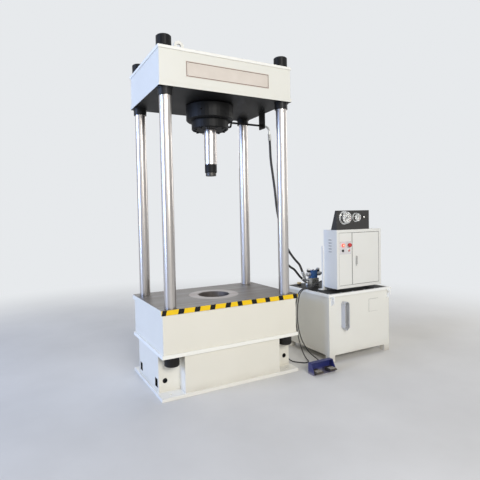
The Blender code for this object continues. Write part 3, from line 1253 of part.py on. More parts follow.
def controls(white, red, black):
    inwards = (0, 1, 0)
    reach = BUTTON_SHANK_LENGTH + BUTTON_STAND_OFF
    place = button_place(-1, 1, BUTTON_STAND_OFF)
    shank = rod(BUTTON_SHANK_RADIUS, reach, place - Vector((0, BUTTON_CHAMFER, 0)), inwards, COARSE)
    head = rod(START_RADIUS, START_HEIGHT, place, (0, -1, 0), 20, BUTTON_CHAMFER)
    piece("start_button", joined(head, shank), white, place)

    place = button_place(1, 1, BUTTON_STAND_OFF)
    profile = [(0, -reach), (BUTTON_SHANK_RADIUS, -reach), (BUTTON_SHANK_RADIUS, 0), (STOP_NECK_RADIUS, 0)]
    profile += [(STOP_NECK_RADIUS, STOP_HEIGHT / 3), (STOP_RADIUS, STOP_HEIGHT / 2)]
    profile += [(STOP_RADIUS, STOP_HEIGHT * 3 / 4), (STOP_RADIUS * 4 / 5, STOP_HEIGHT), (0, STOP_HEIGHT)]
    piece("stop_button", turned(profile, place, (0, -1, 0), 20), red, place)

    place = button_place(-1, -1, GAP)
    start = place - Vector((0, BUTTON_CHAMFER, 0))
    shank = rod(BUTTON_SHANK_RADIUS, BUTTON_SHANK_LENGTH, start, inwards, COARSE)
    head = rod(KNOB_RADIUS, KNOB_HEIGHT, place, (0, -1, 0), 20, BUTTON_CHAMFER)
    half = (KNOB_GRIP_WIDTH / 2, KNOB_RADIUS * 9 / 10)
    grip = block(
        (place.x - half[0], place.y - KNOB_HEIGHT - KNOB_GRIP, place.z - half[1]),
        (place.x + half[0], place.y - KNOB_HEIGHT / 2, place.z + half[1]),
    )
    piece("selector_knob", joined(head, shank, grip), black, place)


def cabinet_door(look):
    bottom, top = OPENING_BOTTOM + DOOR_GAP, OPENING_TOP - DOOR_GAP
    tray = block((DOOR_LEFT, PANEL_FRONT, bottom), (DOOR_RIGHT, PANEL_FRONT + DOOR_DEPTH, top))
    rim = 2 * DOOR_PIN_INSET_X
    hollow = block(
        (DOOR_LEFT + rim, PANEL_FRONT + DOOR_SHEET, bottom + rim),
        (DOOR_RIGHT - rim, PANEL_FRONT + DOOR_DEPTH + OVERRUN, top - rim),
    )
    pin = (DOOR_RIGHT - DOOR_PIN_INSET_X, PANEL_FRONT + DOOR_PIN_INSET_Y)
    length = DOOR_GAP + DOOR_PIN_LENGTH - OVERRUN / 2
    upper = rod(DOOR_PIN_RADIUS, length + OVERRUN, (*pin, top - OVERRUN), steps=COARSE)
    lower = rod(DOOR_PIN_RADIUS, length + OVERRUN, (*pin, bottom + OVERRUN), (0, 0, -1), COARSE)
    x, z = DOOR_LEFT + HANDLE_OFFSET, CABINET_TOP - HANDLE_PIVOT_DROP
    plate_top = z + LOCK_PLATE_WIDTH / 2
    lock = block(
        (x - LOCK_PLATE_WIDTH / 2, PANEL_FRONT - LOCK_PLATE_PROUD, plate_top - LOCK_PLATE_HEIGHT),
        (x + LOCK_PLATE_WIDTH / 2, PANEL_FRONT + DOOR_SHEET / 2, plate_top),
    )
    shaft = rod(
        HANDLE_SHAFT_RADIUS + HANDLE_SHAFT_CLEARANCE, LOCK_PLATE_PROUD + DOOR_SHEET + 2 * OVERRUN,
        (x, PANEL_FRONT - LOCK_PLATE_PROUD - OVERRUN, z), (0, 1, 0), COARSE,
    )
    door = cut(joined(cut(tray, hollow), upper, lower, lock), shaft)
    piece("cabinet_door", door, look, (*pin, bottom))


def door_handle(look):
    x, z = DOOR_LEFT + HANDLE_OFFSET, CABINET_TOP - HANDLE_PIVOT_DROP
    near = PANEL_FRONT - LOCK_PLATE_PROUD - HANDLE_STAND_OFF
    half = HANDLE_WIDTH / 2
    outline = [*circle((x, z), half, 8, 0, 180), *circle((x, z - HANDLE_LENGTH + half), half, 8, 180, 180)]
    lever = prism(outline, "Y", near - HANDLE_THICKNESS, near)
    start = (x, near - HANDLE_THICKNESS / 2, z)
    back = PANEL_FRONT + DOOR_DEPTH + CAM_CLEARANCE
    reach = back + CAM_THICKNESS + CAM_CLEARANCE - start[1]
    shaft = rod(HANDLE_SHAFT_RADIUS, reach, start, (0, 1, 0), COARSE)
    cam = block(
        (x - CAM_LENGTH, back, z - CAM_WIDTH / 2),
        (x + CAM_WIDTH / 2, back + CAM_THICKNESS, z + CAM_WIDTH / 2),
    )
    piece("door_handle", joined(lever, shaft, cam), look, (x, PANEL_FRONT, z))


def control_rack(look):
    back = CABINET_BACK - CABINET_WALL - GAP
    left, right = CABINET_LEFT + RACK_INSET, CABINET_RIGHT - RACK_INSET
    bottom, top = CABINET_BOTTOM + RACK_INSET, CABINET_TOP - RACK_INSET
    front = back - RACK_STUD - RACK_PLATE
    plate = block((left, front, bottom), (right, back - RACK_STUD, top))
    parts = []
    for x in (left + RACK_STUD, right - RACK_STUD):
        for z in (bottom + RACK_STUD, top - RACK_STUD):
            parts.append(rod(RACK_STUD_RADIUS, RACK_STUD + RACK_PLATE / 2, (x, back, z), (0, -1, 0), 8))
    for height, share in zip(RACK_ROW_HEIGHTS, RACK_ROW_SHARES):
        low = bottom + (top - bottom) * share
        for start, end in RACK_UNIT_SHARES:
            depth = RACK_UNIT_DEPTH * (3 / 4 + share / 4)
            corner = (left + (right - left) * start, front - depth, low)
            parts.append(block(corner, (left + (right - left) * end, front + RACK_PLATE / 2, low + height)))
    piece("control_rack", joined(plate, *parts), look)


# Gauges


def gauge_panel(look):
    left, right = CABINET_LEFT, CABINET_LEFT + GAUGE_PANEL_WIDTH
    bottom = CABINET_TOP + GAP
    top, front, sheet = bottom + GAUGE_PANEL_HEIGHT, CABINET_FRONT, GAUGE_PANEL_SHEET
    side = [(front, bottom), (front + GAUGE_PANEL_DEPTH, bottom)]
    side += [(front + GAUGE_PANEL_LIP, top), (front, top)]
    inner = [(front + sheet, bottom + sheet), (front + GAUGE_PANEL_DEPTH + OVERRUN, bottom + sheet)]
    inner += [(front + GAUGE_PANEL_DEPTH + OVERRUN, top - sheet), (front + sheet, top - sheet)]
    panel = prism(side, "X", left, right)
    hollow = prism(inner, "X", left + sheet, right - sheet)
    holes = []
    main = (MAIN_GAUGE_X, MAIN_GAUGE_Z, MAIN_GAUGE_RADIUS)
    for x, z, radius in (main, (OIL_GAUGE_X, OIL_GAUGE_Z, OIL_GAUGE_RADIUS)):
        hole = radius * GAUGE_BACK_SHARE + GAP
        holes.append(rod(hole, sheet + 2 * OVERRUN, (x, front - OVERRUN, z), (0, 1, 0)))
    panel = cut(panel, hollow, *holes)
    place = (CABINET_LEFT + LAMP_INSET, front + sheet / 2, CABINET_TOP + LAMP_RISE)
    lamp = rod(LAMP_RADIUS, LAMP_HEIGHT + sheet, place, (0, -1, 0), COARSE, sheet / 2)
    piece("gauge_panel", joined(panel, lamp), look)


def gauge(name, x, z, radius, depth, steel, black, glass):
    """A panel gauge: flanged case, pointer on its pin, and the glass held inside the bezel."""
    front = CABINET_FRONT - GAP
    body, bezel, back = radius * GAUGE_BODY_SHARE, radius * GAUGE_BEZEL_SHARE, radius * GAUGE_BACK_SHARE
    dial = depth - GAUGE_RECESS
    pin = POINTER_PIN_RADIUS + GAP
    profile = [(0, dial - 2 * POINTER_PIN_DEPTH), (pin, dial - 2 * POINTER_PIN_DEPTH)]
    profile += [(pin, dial), (bezel, dial), (bezel, depth), (body, depth)]
    profile += [(body, GAUGE_FLANGE), (radius, GAUGE_FLANGE), (radius, 0)]
    profile += [(back, 0), (back, -GAUGE_BACK_DEPTH), (0, -GAUGE_BACK_DEPTH)]
    piece(name + "_case", turned(profile, (x, front, z), (0, -1, 0), ROUND), steel)

    face = front - dial
    level = face - GAUGE_RECESS / 3
    width, hub = radius * POINTER_WIDTH_SHARE, radius * POINTER_HUB_SHARE
    tip, tail = bezel * POINTER_LENGTH_SHARE, bezel * POINTER_TAIL_SHARE
    outline = [(-width, -tail), (width, -tail), (width / 4, tip), (-width / 4, tip)]
    needle = prism(outline, "Y", level - POINTER_THICKNESS, level)
    boss = rod(hub, 2 * POINTER_THICKNESS, (0, level, 0), (0, -1, 0), 12)
    reach = GAUGE_RECESS / 3 + POINTER_PIN_DEPTH + POINTER_THICKNESS
    spindle = rod(POINTER_PIN_RADIUS, reach, (0, level - POINTER_THICKNESS / 2, 0), (0, 1, 0), 10)
    pointer = joined(boss, needle, spindle)
    pointer.data.transform(Matrix.Rotation(radians(POINTER_REST_DEGREES), 4, "Y"))
    pointer.data.transform(Matrix.Translation((x, 0, z)))
    piece(name + "_pointer", pointer, black, (x, level, z))

    outer = front - depth
    pane = rod(bezel - GAP, GLASS_THICKNESS, (x, outer + GLASS_THICKNESS, z), (0, -1, 0))
    piece(name + "_glass", pane, glass)


# Foot switch


def foot_guard(look):
    left, right = FOOT_LEFT, FOOT_LEFT + FOOT_WIDTH
    front, back = FOOT_BACK - FOOT_DEPTH, FOOT_BACK
    wall = FOOT_WALL
    floor = block((left, front, 0), (right, back, FOOT_FLOOR))
    rear = block((left, back - wall, FOOT_FLOOR / 2), (right, back, FOOT_HEIGHT))
    hood = block((left, back - FOOT_HOOD_DEPTH, FOOT_HEIGHT - wall), (right, back - wall / 2, FOOT_HEIGHT))
    cheek = [(front, FOOT_FLOOR / 2), (back, FOOT_FLOOR / 2), (back, FOOT_HEIGHT)]
    cheek += [(back - FOOT_HOOD_DEPTH, FOOT_HEIGHT), (front, FOOT_FLOOR + PEDAL_HINGE_HEIGHT)]
    parts = [rear, hood]
    for x in (left, right - wall):
        parts.append(prism(cheek, "X", x, x + wall))
    hinge = (back - PEDAL_HINGE_SETBACK, PEDAL_HINGE_HEIGHT)
    ears, holes = [], []
    for x in pedal_edges():
        low = (x, hinge[0] - PEDAL_HUB_RADIUS, FOOT_FLOOR / 2)
        ears.append(block(low, (x + PEDAL_EAR, back - wall / 2, hinge[1] + PEDAL_HUB_RADIUS)))
        hole = PEDAL_PIN_RADIUS + PEDAL_PIN_CLEARANCE
        holes.append(rod(hole, PEDAL_EAR + 2 * OVERRUN, (x - OVERRUN, *hinge), (1, 0, 0), COARSE))
    place = (FOOT_GLAND_X, back - wall / 2, FOOT_GLAND_Z)
    gland = rod(CABLE_GLAND_RADIUS, CABLE_GLAND_LENGTH + wall / 2, place, (0, 1, 0), COARSE)
    piece("foot_guard", joined(cut(joined(floor, *parts, *ears), *holes), gland), look)


def pedal_edges():
    """Left edge of each ear that carries a pedal's pin, two for each pedal."""
    first = FOOT_LEFT + FOOT_WALL + GAP
    last = FOOT_LEFT + FOOT_WIDTH - FOOT_WALL - GAP
    clear = PEDAL_WIDTH + 2 * PEDAL_EAR + 2 * GAP
    edges = []
    for start in (first, last - clear):
        edges += [start, start + PEDAL_EAR + PEDAL_WIDTH + 2 * GAP]
    return edges


def pedals(look):
    y, z = FOOT_BACK - PEDAL_HINGE_SETBACK, PEDAL_HINGE_HEIGHT
    edges = pedal_edges()
    for name, ear in (("left_pedal", edges[0]), ("right_pedal", edges[2])):
        left = ear + PEDAL_EAR + GAP
        right = left + PEDAL_WIDTH
        top = z + PEDAL_HUB_RADIUS
        tip = y - PEDAL_LENGTH
        side = [(y, z - PEDAL_HUB_RADIUS), (y, top), (tip, top), (tip, top - PEDAL_THICKNESS * 3 / 4)]
        plate = prism(side, "X", left, right)
        hub = rod(PEDAL_HUB_RADIUS, PEDAL_WIDTH, (left, y, z), (1, 0, 0), COARSE)
        span = PEDAL_WIDTH + 2 * PEDAL_EAR
        pin = rod(PEDAL_PIN_RADIUS, span, (left - PEDAL_EAR, y, z), (1, 0, 0), COARSE)
        end = tip + PEDAL_PAD_MARGIN
        pad = block(
            (left + PEDAL_PAD_MARGIN, end, top - PEDAL_PAD_PROUD),
            (right - PEDAL_PAD_MARGIN, end + PEDAL_PAD_LENGTH, top + PEDAL_PAD_PROUD),
        )
        piece(name, joined(plate, hub, pin, pad), look, (left, y, z))


def cables(look):
    out = Vector((0, 3 * CABLE_RADIUS, 0))
    gland = Vector((0, CABLE_GLAND_LENGTH + GAP, 0))
    start = cable_exit(0) + gland
    end = Vector((FOOT_GLAND_X, FOOT_BACK, FOOT_GLAND_Z)) + gland
    route = (start, start + out, *beside_base(FOOT_CABLE_ROUTE), end + out, end)
    cord("foot_cable", smooth(route, CABLE_STEP), CABLE_RADIUS, look)
    start = cable_exit(1) + gland
    end = Vector((PEDESTAL_SIDE + BASE_GLAND_LENGTH + GAP, BASE_GLAND_Y, BASE_GLAND_Z))
    beside = Vector((3 * CABLE_RADIUS, 0, 0))
    route = (start, start + out, *beside_base(FLOOR_CABLE_ROUTE), end + beside, end)
    cord("floor_cable", smooth(route, CABLE_STEP), CABLE_RADIUS, look)


def build():
    clear_scene()
    cream = finish("cream_paint", (0.80, 0.78, 0.70), 0.42)
    black = finish("black_oxide", (0.02, 0.02, 0.022), 0.38, 0.4)
    chrome = finish("hard_chrome", (0.72, 0.71, 0.70), 0.12, 1.0)
    steel = finish("bright_steel", (0.55, 0.54, 0.52), 0.35, 1.0)
    zinc = finish("zinc_plate", (0.66, 0.66, 0.64), 0.30, 1.0)
    rubber = finish("hose_rubber", (0.015, 0.015, 0.016), 0.55)
    blue = finish("blue_paint", (0.02, 0.06, 0.30), 0.35)
    grey = finish("grey_paint", (0.05, 0.05, 0.055), 0.45)
    red = finish("red_plastic", (0.60, 0.02, 0.02), 0.35)
    white = finish("lamp_plastic", (0.85, 0.35, 0.30), 0.30)
    glass = finish("gauge_glass", (0.90, 0.93, 0.93), 0.05, 0.0, 0.3)

    base_frame(cream)
    bed_frame(cream)
    columns(chrome)
    column_nuts(black)
    crown_frame(cream)
    cylinder(black, black)
    ram(chrome, black)
    hydraulics(black, zinc, rubber)
    tank_body(cream)
    tank_cover(black)
    filler_cap(steel)
    level_gauge(steel, cream)
    motor(grey, black, steel)
    valve_group(steel, blue, black)
    cabinet_stand(cream)
    cabinet_body(cream)
    controls(white, red, black)
    cabinet_door(cream)
    door_handle(steel)
    control_rack(grey)
    gauge_panel(grey)
    gauge("main_gauge", MAIN_GAUGE_X, MAIN_GAUGE_Z, MAIN_GAUGE_RADIUS, MAIN_GAUGE_DEPTH, steel, black, glass)
    gauge("oil_gauge", OIL_GAUGE_X, OIL_GAUGE_Z, OIL_GAUGE_RADIUS, OIL_GAUGE_DEPTH, steel, black, glass)
    foot_guard(blue)
    pedals(black)
    cables(rubber)


build()
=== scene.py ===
"""A four-column hydraulic press with its power unit and foot switch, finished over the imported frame."""

from functools import partialmethod
from math import cos, pi, radians, sin

import bmesh
import bpy
from mathutils import Matrix, Vector


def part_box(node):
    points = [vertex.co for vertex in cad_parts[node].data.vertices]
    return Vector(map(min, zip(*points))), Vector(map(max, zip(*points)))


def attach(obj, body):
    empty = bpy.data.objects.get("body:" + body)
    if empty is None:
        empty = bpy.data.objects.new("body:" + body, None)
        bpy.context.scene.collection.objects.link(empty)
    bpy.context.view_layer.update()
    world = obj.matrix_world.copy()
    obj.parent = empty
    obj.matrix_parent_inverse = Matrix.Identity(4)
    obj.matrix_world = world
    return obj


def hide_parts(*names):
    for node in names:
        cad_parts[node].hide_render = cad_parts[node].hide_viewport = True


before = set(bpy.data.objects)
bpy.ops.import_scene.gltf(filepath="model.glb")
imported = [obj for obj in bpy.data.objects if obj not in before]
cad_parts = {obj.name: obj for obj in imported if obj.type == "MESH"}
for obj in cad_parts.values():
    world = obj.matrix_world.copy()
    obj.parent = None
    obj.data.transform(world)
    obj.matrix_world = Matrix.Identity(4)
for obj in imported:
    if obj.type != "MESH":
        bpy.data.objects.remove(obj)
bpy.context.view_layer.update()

scene = bpy.context.scene
scene.view_settings.view_transform = "Standard"
for startup in ("Cube", "Light", "Camera"):
    if startup in bpy.data.objects:
        bpy.data.objects.remove(bpy.data.objects[startup])


# Camera
# It stands at eye height, in front of the press and to its left, and looks across the machine
# towards the power unit. Lens and tilt come from the press's own straight edges.

eye = Vector((-1.719, -3.611, 1.5))
ahead = Vector((0.46557, 0.88433, -0.03464)).normalized()
camera_tilt = radians(-1.215)
level_side = ahead.cross(Vector((0, 0, 1))).normalized()
level_up = level_side.cross(ahead)
view_side = level_side * cos(camera_tilt) + level_up * sin(camera_tilt)
view_up = level_up * cos(camera_tilt) - level_side * sin(camera_tilt)
camera = bpy.data.objects.new("camera", bpy.data.cameras.new("camera"))
camera.matrix_world = Matrix.Translation(eye) @ Matrix((view_side, view_up, -ahead)).transposed().to_4x4()
camera.data.lens = 31.0125
camera.data.shift_x = 0.0230
camera.data.shift_y = -0.0188
camera.data.clip_end = 100
scene.collection.objects.link(camera)
scene.camera = camera


# Pressure hoses
# Two steel-braided rubber hoses, 25 mm across, hang from the cylinder's pipes to the valve block.
# Each is crimped at both ends and stiff, so it leaves its fitting straight and sags in one bow.


def connect(tree, value, socket):
    """Links a wire to a socket, or sets the socket's own value. Colours are given without alpha."""
    if isinstance(value, Wire):
        tree.links.new(value.socket, socket)
    else:
        socket.default_value = (*value, 1) if socket.type == "RGBA" else value


def node(tree, kind, inputs=None, **settings):
    """Adds a node with its settings and inputs. Gives its outputs, by number and by name."""
    made = tree.nodes.new(kind)
    for key, value in settings.items():
        setattr(made, key, value)
    for key, value in (inputs or {}).items():
        connect(tree, value, made.inputs[key])
    return {key: Wire(tree, socket) for index, socket in enumerate(made.outputs) for key in (index, socket.name)}


class Wire:
    """One output of a node. Arithmetic and comparisons with it add Math nodes to its tree."""

    def __init__(self, tree, socket):
        self.tree, self.socket = tree, socket

    def node(self, kind, inputs=None, **settings):
        return node(self.tree, kind, inputs, **settings)

    def maths(self, operation, other=0.0):
        return self.node("ShaderNodeMath", {0: self, 1: other}, operation=operation)[0]

    __add__ = partialmethod(maths, "ADD")
    __sub__ = partialmethod(maths, "SUBTRACT")
    __mul__ = partialmethod(maths, "MULTIPLY")
    __truediv__ = partialmethod(maths, "DIVIDE")
    __pow__ = partialmethod(maths, "POWER")
    __lt__ = partialmethod(maths, "LESS_THAN")
    __gt__ = partialmethod(maths, "GREATER_THAN")
    __or__ = partialmethod(maths, "MAXIMUM")
    __abs__ = partialmethod(maths, "ABSOLUTE")

    def __rsub__(self, number):
        return self.node("ShaderNodeMath", {0: number, 1: self}, operation="SUBTRACT")[0]

    def clamped(self):
        self.socket.node.use_clamp = True
        return self

    def spread(self, low, high, to_low=0.0, to_high=1.0):
        """Takes low to to_low and high to to_high, and what lies between to between."""
        return self.node("ShaderNodeMapRange", {0: self, 1: low, 2: high, 3: to_low, 4: to_high})[0]

    def mix(self, first, second):
        """Two colours mixed by this share."""
        return self.node("ShaderNodeMix", {0: self, 6: first, 7: second}, data_type="RGBA")[2]

    def noise(self, scale, detail=3.0, roughness=0.55):
        values = {"Vector": self, "Scale": scale, "Detail": detail, "Roughness": roughness}
        return self.node("ShaderNodeTexNoise", values)[0]

    def stretched(self, scale, turn=(0, 0, 0)):
        return self.node("ShaderNodeMapping", {"Vector": self, "Scale": scale, "Rotation": turn})[0]

    def axes(self):
        separated = self.node("ShaderNodeSeparateXYZ", {0: self})
        return [separated[letter] for letter in "XYZ"]

    def bump(self, strength, distance, **normal):
        values = {"Height": self, "Strength": strength, "Distance": distance, **normal}
        return self.node("ShaderNodeBump", values)[0]


COLOURS, VECTORS = ("Colour", "Shade", "Dust", "Worn", "Film"), ("Place", "Grain", "Normal")


def effect(name, inputs, outputs):
    """An empty shader node group with named sockets, and its inputs as wires."""
    tree = bpy.data.node_groups.new(name, "ShaderNodeTree")
    for way, labels in (("INPUT", inputs), ("OUTPUT", outputs)):
        for label in labels:
            kind = "Color" if label in COLOURS else "Vector" if label in VECTORS else "Float"
            tree.interface.new_socket(label, in_out=way, socket_type="NodeSocket" + kind)
    return tree, node(tree, "NodeGroupInput")


def feed(look, **values):
    """Sets or links inputs of a material's shader; base_color stands for Base Color."""
    shader = look.node_tree.nodes["Principled BSDF"]
    sockets = {socket.name.lower().replace(" ", "_"): socket for socket in shader.inputs}
    for label, value in values.items():
        connect(look.node_tree, value, sockets[label])


def material(name, **values):
    """A material, and a wire that carries the object's own coordinates."""
    look = bpy.data.materials.new(name)
    look.use_nodes = True
    feed(look, **values)
    return look, node(look.node_tree, "ShaderNodeTexCoord")["Object"]


def heading(before, here, after):
    """The direction of a smooth curve at a point between two others, led by the nearer one."""
    arrive, leave = here - before, after - here
    near, far = arrive.length, leave.length
    return (arrive * far / near + leave * near / far) / (near + far)


def laid(route, step):
    """The route's two straight ends, and points a step apart along a smooth curve between them."""
    nodes = [Vector(point) for point in route]
    dense = []
    for before, start, end, after in zip(nodes, nodes[1:], nodes[2:], nodes[3:]):
        span = (end - start).length
        leave, arrive = heading(before, start, end) * span, heading(start, end, after) * span
        count = max(2, round(8 * span / step))
        for t in (i / count for i in range(count)):
            point = start * (1 + 2 * t) * (1 - t) ** 2 + end * t * t * (3 - 2 * t)
            dense.append(point + leave * t * (1 - t) ** 2 - arrive * t * t * (1 - t))
    dense.append(nodes[-2])
    lengths = [0]
    for a, b in zip(dense, dense[1:]):
        lengths.append(lengths[-1] + (b - a).length)
    count = round(lengths[-1] / step)
    points, index = [nodes[0], dense[0]], 0
    for number in range(1, count):
        goal = lengths[-1] * number / count
        while lengths[index + 1] < goal:
            index += 1
        share = (goal - lengths[index]) / (lengths[index + 1] - lengths[index])
        points.append(dense[index].lerp(dense[index + 1], share))
    return [*points, dense[-1], nodes[-1]]


def line_length(points):
    return sum((b - a).length for a, b in zip(points, points[1:]))


def flexible(name, points, radius, look):
    """A hose or cable as one smooth open curve through its points."""
    curve = bpy.data.curves.new(name, "CURVE")
    curve.dimensions = "3D"
    curve.bevel_depth = radius
    curve.bevel_resolution = 5
    curve.use_fill_caps = True
    curve.resolution_u = 6
    curve.materials.append(look)
    spline = curve.splines.new("BEZIER")
    spline.bezier_points.add(len(points) - 1)
    for index, (place, point) in enumerate(zip(spline.bezier_points, points)):
        before, after = points[max(index - 1, 0)], points[min(index + 1, len(points) - 1)]
        inner = point not in (before, after)
        way = heading(before, point, after) if inner else (after - before).normalized()
        place.co = point
        place.handle_left_type = place.handle_right_type = "FREE"
        place.handle_left = point - way * (point - before).length / 3
        place.handle_right = point + way * (after - point).length / 3
    made = bpy.data.objects.new(name, curve)
    scene.collection.objects.link(made)
    return made


# Routes from one fitting to the other, whose first and last stretches are straight
ROD_HOSE_ROUTE = (
    (0.6814, 0, 2.2747), (0.6829, 0, 2.2497), (0.6935, 0.004, 2.079), (0.718, 0.008, 1.925),
    (0.743, 0.013, 1.769), (0.774, 0.02, 1.549), (0.836, 0.032, 1.33), (0.933, 0.048, 1.12),
    (1.017, 0.058, 1.021), (1.098, 0.067, 0.94), (1.122, 0.0693, 0.8913), (1.133, 0.0704, 0.8689),
)
CAP_HOSE_ROUTE = (
    (0.7023, 0, 3.0303), (0.7273, 0, 3.0303), (0.7798, 0.002, 3.0162), (0.8182, 0.006, 2.9778),
    (0.8323, 0.011, 2.9253), (0.842, 0.016, 2.86), (0.8485, 0.021, 2.78), (0.85, 0.027, 2.64),
    (0.848, 0.036, 2.4), (0.844, 0.042, 2), (0.846, 0.052, 1.5), (0.858, 0.066, 1.2), (0.892, 0.084, 1.05),
    (0.966, 0.103, 0.95), (1.05, 0.12, 0.902), (1.1565, 0.1341, 0.7975), (1.1764, 0.1367, 0.7827),
)

# Smooth black rubber with a faint fine grain, dusty and rubbed in patches
rubber_skin, given = effect("rubber skin", ("Place", "Colour", "Dust", "Amount"), ("Colour", "Roughness", "Height"))
patches = given["Place"].noise(9.0, 4.0)
dusty = patches.spread(0.45, 0.75) * given["Amount"]
node(rubber_skin, "NodeGroupOutput", {
    "Colour": dusty.mix(given["Colour"], given["Dust"]), "Roughness": patches.spread(0.3, 0.8, 0.34, 0.62),
    "Height": given["Place"].noise(160.0),
})


def cover(look, group, values, *bump):
    """Puts a skin group on a material, and gives the group's outputs."""
    skin = node(look.node_tree, "ShaderNodeGroup", values, node_tree=group)
    normal = skin["Height"].bump(*bump) if bump else skin["Normal"]
    feed(look, base_color=skin["Colour"], roughness=skin["Roughness"], normal=normal)
    return skin


def rubber(name, colour, dust, amount):
    look, place = material(name)
    cover(look, rubber_skin, {"Place": place, "Colour": colour, "Dust": dust, "Amount": amount}, 0.25, 0.0006)
    return look


hose_cover = rubber("hose cover", (0.020, 0.019, 0.019), (0.085, 0.075, 0.068), 0.5)
HOSE_RADIUS, HOSE_STEP = 0.0125, 0.070
rod_hose_line, cap_hose_line = laid(ROD_HOSE_ROUTE, HOSE_STEP), laid(CAP_HOSE_ROUTE, HOSE_STEP)
for name, cad_node, line in (
    ("rod_side_hose", "rod_hose", rod_hose_line),
    ("cap_side_hose", "cap_hose", cap_hose_line),
):
    hose = flexible(name, line, HOSE_RADIUS, hose_cover)
    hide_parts(cad_node)
    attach(hose, "machine")
    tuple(line[0])
    line_length(line)


# Control cables
# Two round black cables leave glands on the cabinet's back, cross the tank's cover and drop behind
# it to the floor: one runs forward to the foot switch, the other loops back into the press's base.

CABLE_RADIUS, CABLE_STEP = 0.0055, 0.040
FOOT_CABLE_ROUTE = (
    (1.275, -0.1577, 0.785), (1.275, -0.1412, 0.785), (1.2683, -0.1162, 0.782), (1.25, -0.0979, 0.774),
    (1.225, -0.0912, 0.762), (1.19, -0.086, 0.744), (1.15, -0.081, 0.725), (1.11, -0.076, 0.711),
    (1.075, -0.072, 0.7065), (1.043, -0.068, 0.7035), (1.006, -0.063, 0.676), (0.975, -0.06, 0.6),
    (0.954, -0.066, 0.5), (0.944, -0.084, 0.34), (0.95, -0.14, 0.185), (0.966, -0.225, 0.088),
    (0.981, -0.31, 0.046), (0.984, -0.37, 0.029), (0.9776, -0.4015, 0.027), (0.9595, -0.428, 0.03),
    (0.9414, -0.4545, 0.038), (0.935, -0.4862, 0.045), (0.935, -0.5027, 0.045),
)
FLOOR_CABLE_ROUTE = (
    (1.305, -0.1577, 0.785), (1.305, -0.1412, 0.785), (1.2956, -0.1062, 0.781), (1.27, -0.0806, 0.772),
    (1.235, -0.0712, 0.757), (1.2, -0.066, 0.74), (1.16, -0.0585, 0.722), (1.115, -0.053, 0.71),
    (1.08, -0.0495, 0.7065), (1.043, -0.046, 0.7035), (1.002, -0.042, 0.676), (0.966, -0.04, 0.6),
    (0.942, -0.048, 0.5), (0.93, -0.072, 0.34), (0.933, -0.115, 0.18), (0.935, -0.17, 0.07),
    (0.935, -0.225, 0.018), (0.931, -0.262, 0.0065), (0.912, -0.291, 0.0065), (0.884, -0.301, 0.0065),
    (0.856, -0.291, 0.0065), (0.834, -0.268, 0.0065), (0.806, -0.238, 0.0065), (0.786, -0.212, 0.0075),
    (0.769, -0.184, 0.014), (0.761, -0.158, 0.026), (0.7596, -0.136, 0.037), (0.7526, -0.113, 0.049),
    (0.7358, -0.0962, 0.057), (0.7148, -0.09, 0.06), (0.6983, -0.09, 0.06),
)
cable_jacket = rubber("cable jacket", (0.014, 0.014, 0.015), (0.10, 0.09, 0.08), 0.35)


def meshed(name, bm, *looks):
    """An object with the mesh and the finishes given; the bmesh is used up."""
    mesh = bpy.data.meshes.new(name)
    bm.to_mesh(mesh)
    bm.free()
    for look in looks:
        mesh.materials.append(look)
    made = bpy.data.objects.new(name, mesh)
    scene.collection.objects.link(made)
    return made


def skinned(name, bm, look, body="machine"):
    """A finished mesh piece that stands at the origin and rides on a body."""
    bmesh.ops.recalc_face_normals(bm, faces=bm.faces)
    made = meshed(name, bm, *(look if isinstance(look, tuple) else [look]))
    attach(made, body)
    return made


def swept(bm, points, radii, sides=14):
    """A closed round skin that follows points and takes a radius at each."""
    loops = []
    for index, point in enumerate(points):
        before, after = points[max(index - 1, 0)], points[min(index + 1, len(points) - 1)]
        turn = (after - before).to_track_quat("Z", "Y")
        spokes = [Vector((cos(2 * pi * k / sides), sin(2 * pi * k / sides), 0)) for k in range(sides)]
        loops.append([bm.verts.new(point + turn @ spoke * radii[index]) for spoke in spokes])
    for first, second in zip(loops, loops[1:]):
        for k in range(sides):
            bm.faces.new((first[k], first[k - 1], second[k - 1], second[k]))
    bm.faces.new(loops[0])
    bm.faces.new(reversed(loops[-1]))
    for face in bm.faces:
        face.smooth = len(face.verts) == 4


def boot(name, line, length):
    """Tapered rubber sleeve with shallow ribs, moulded round the first stretch of a cable."""
    steps, wall, flare, rib = 26, 0.0006, 0.0032, 0.0006
    points, radii = [], []
    for index in range(steps + 1):
        share = index / steps
        goal, here = share * length, 0.0
        for a, b in zip(line, line[1:]):
            span = (b - a).length
            if here + span >= goal:
                points.append(a.lerp(b, (goal - here) / span))
                break
            here += span
        ribbed = rib * (1 if index % 4 in (1, 2) else 0) * (1 - share)
        radii.append(CABLE_RADIUS + wall + flare * (1 - share) ** 0.8 + ribbed)
    bm = bmesh.new()
    swept(bm, points, radii)
    return skinned(name, bm, cable_jacket)


for name, cad_node, line, reach in (
    ("foot_switch_cable", "foot_cable", laid(FOOT_CABLE_ROUTE, CABLE_STEP), "foot"),
    ("press_cable", "floor_cable", laid(FLOOR_CABLE_ROUTE, CABLE_STEP), "press"),
):
    sleeves = [boot(reach + "_cable_boot", line, 0.036), boot(reach + "_cable_end_boot", line[::-1], 0.030)]
    cable = flexible(name, line, CABLE_RADIUS, cable_jacket)
    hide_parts(cad_node)
    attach(cable, "machine")
    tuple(line[0])
    line_length(line)


# Floor and lamps
# A plain pale floor fades into an even pale surround. A wide soft lamp stands in front and a cool
# one on the left, with weaker ones behind and on the right. Dark screens show only in reflections.

SURROUND, PRESS_X = (0.80, 0.82, 0.84), 0.4


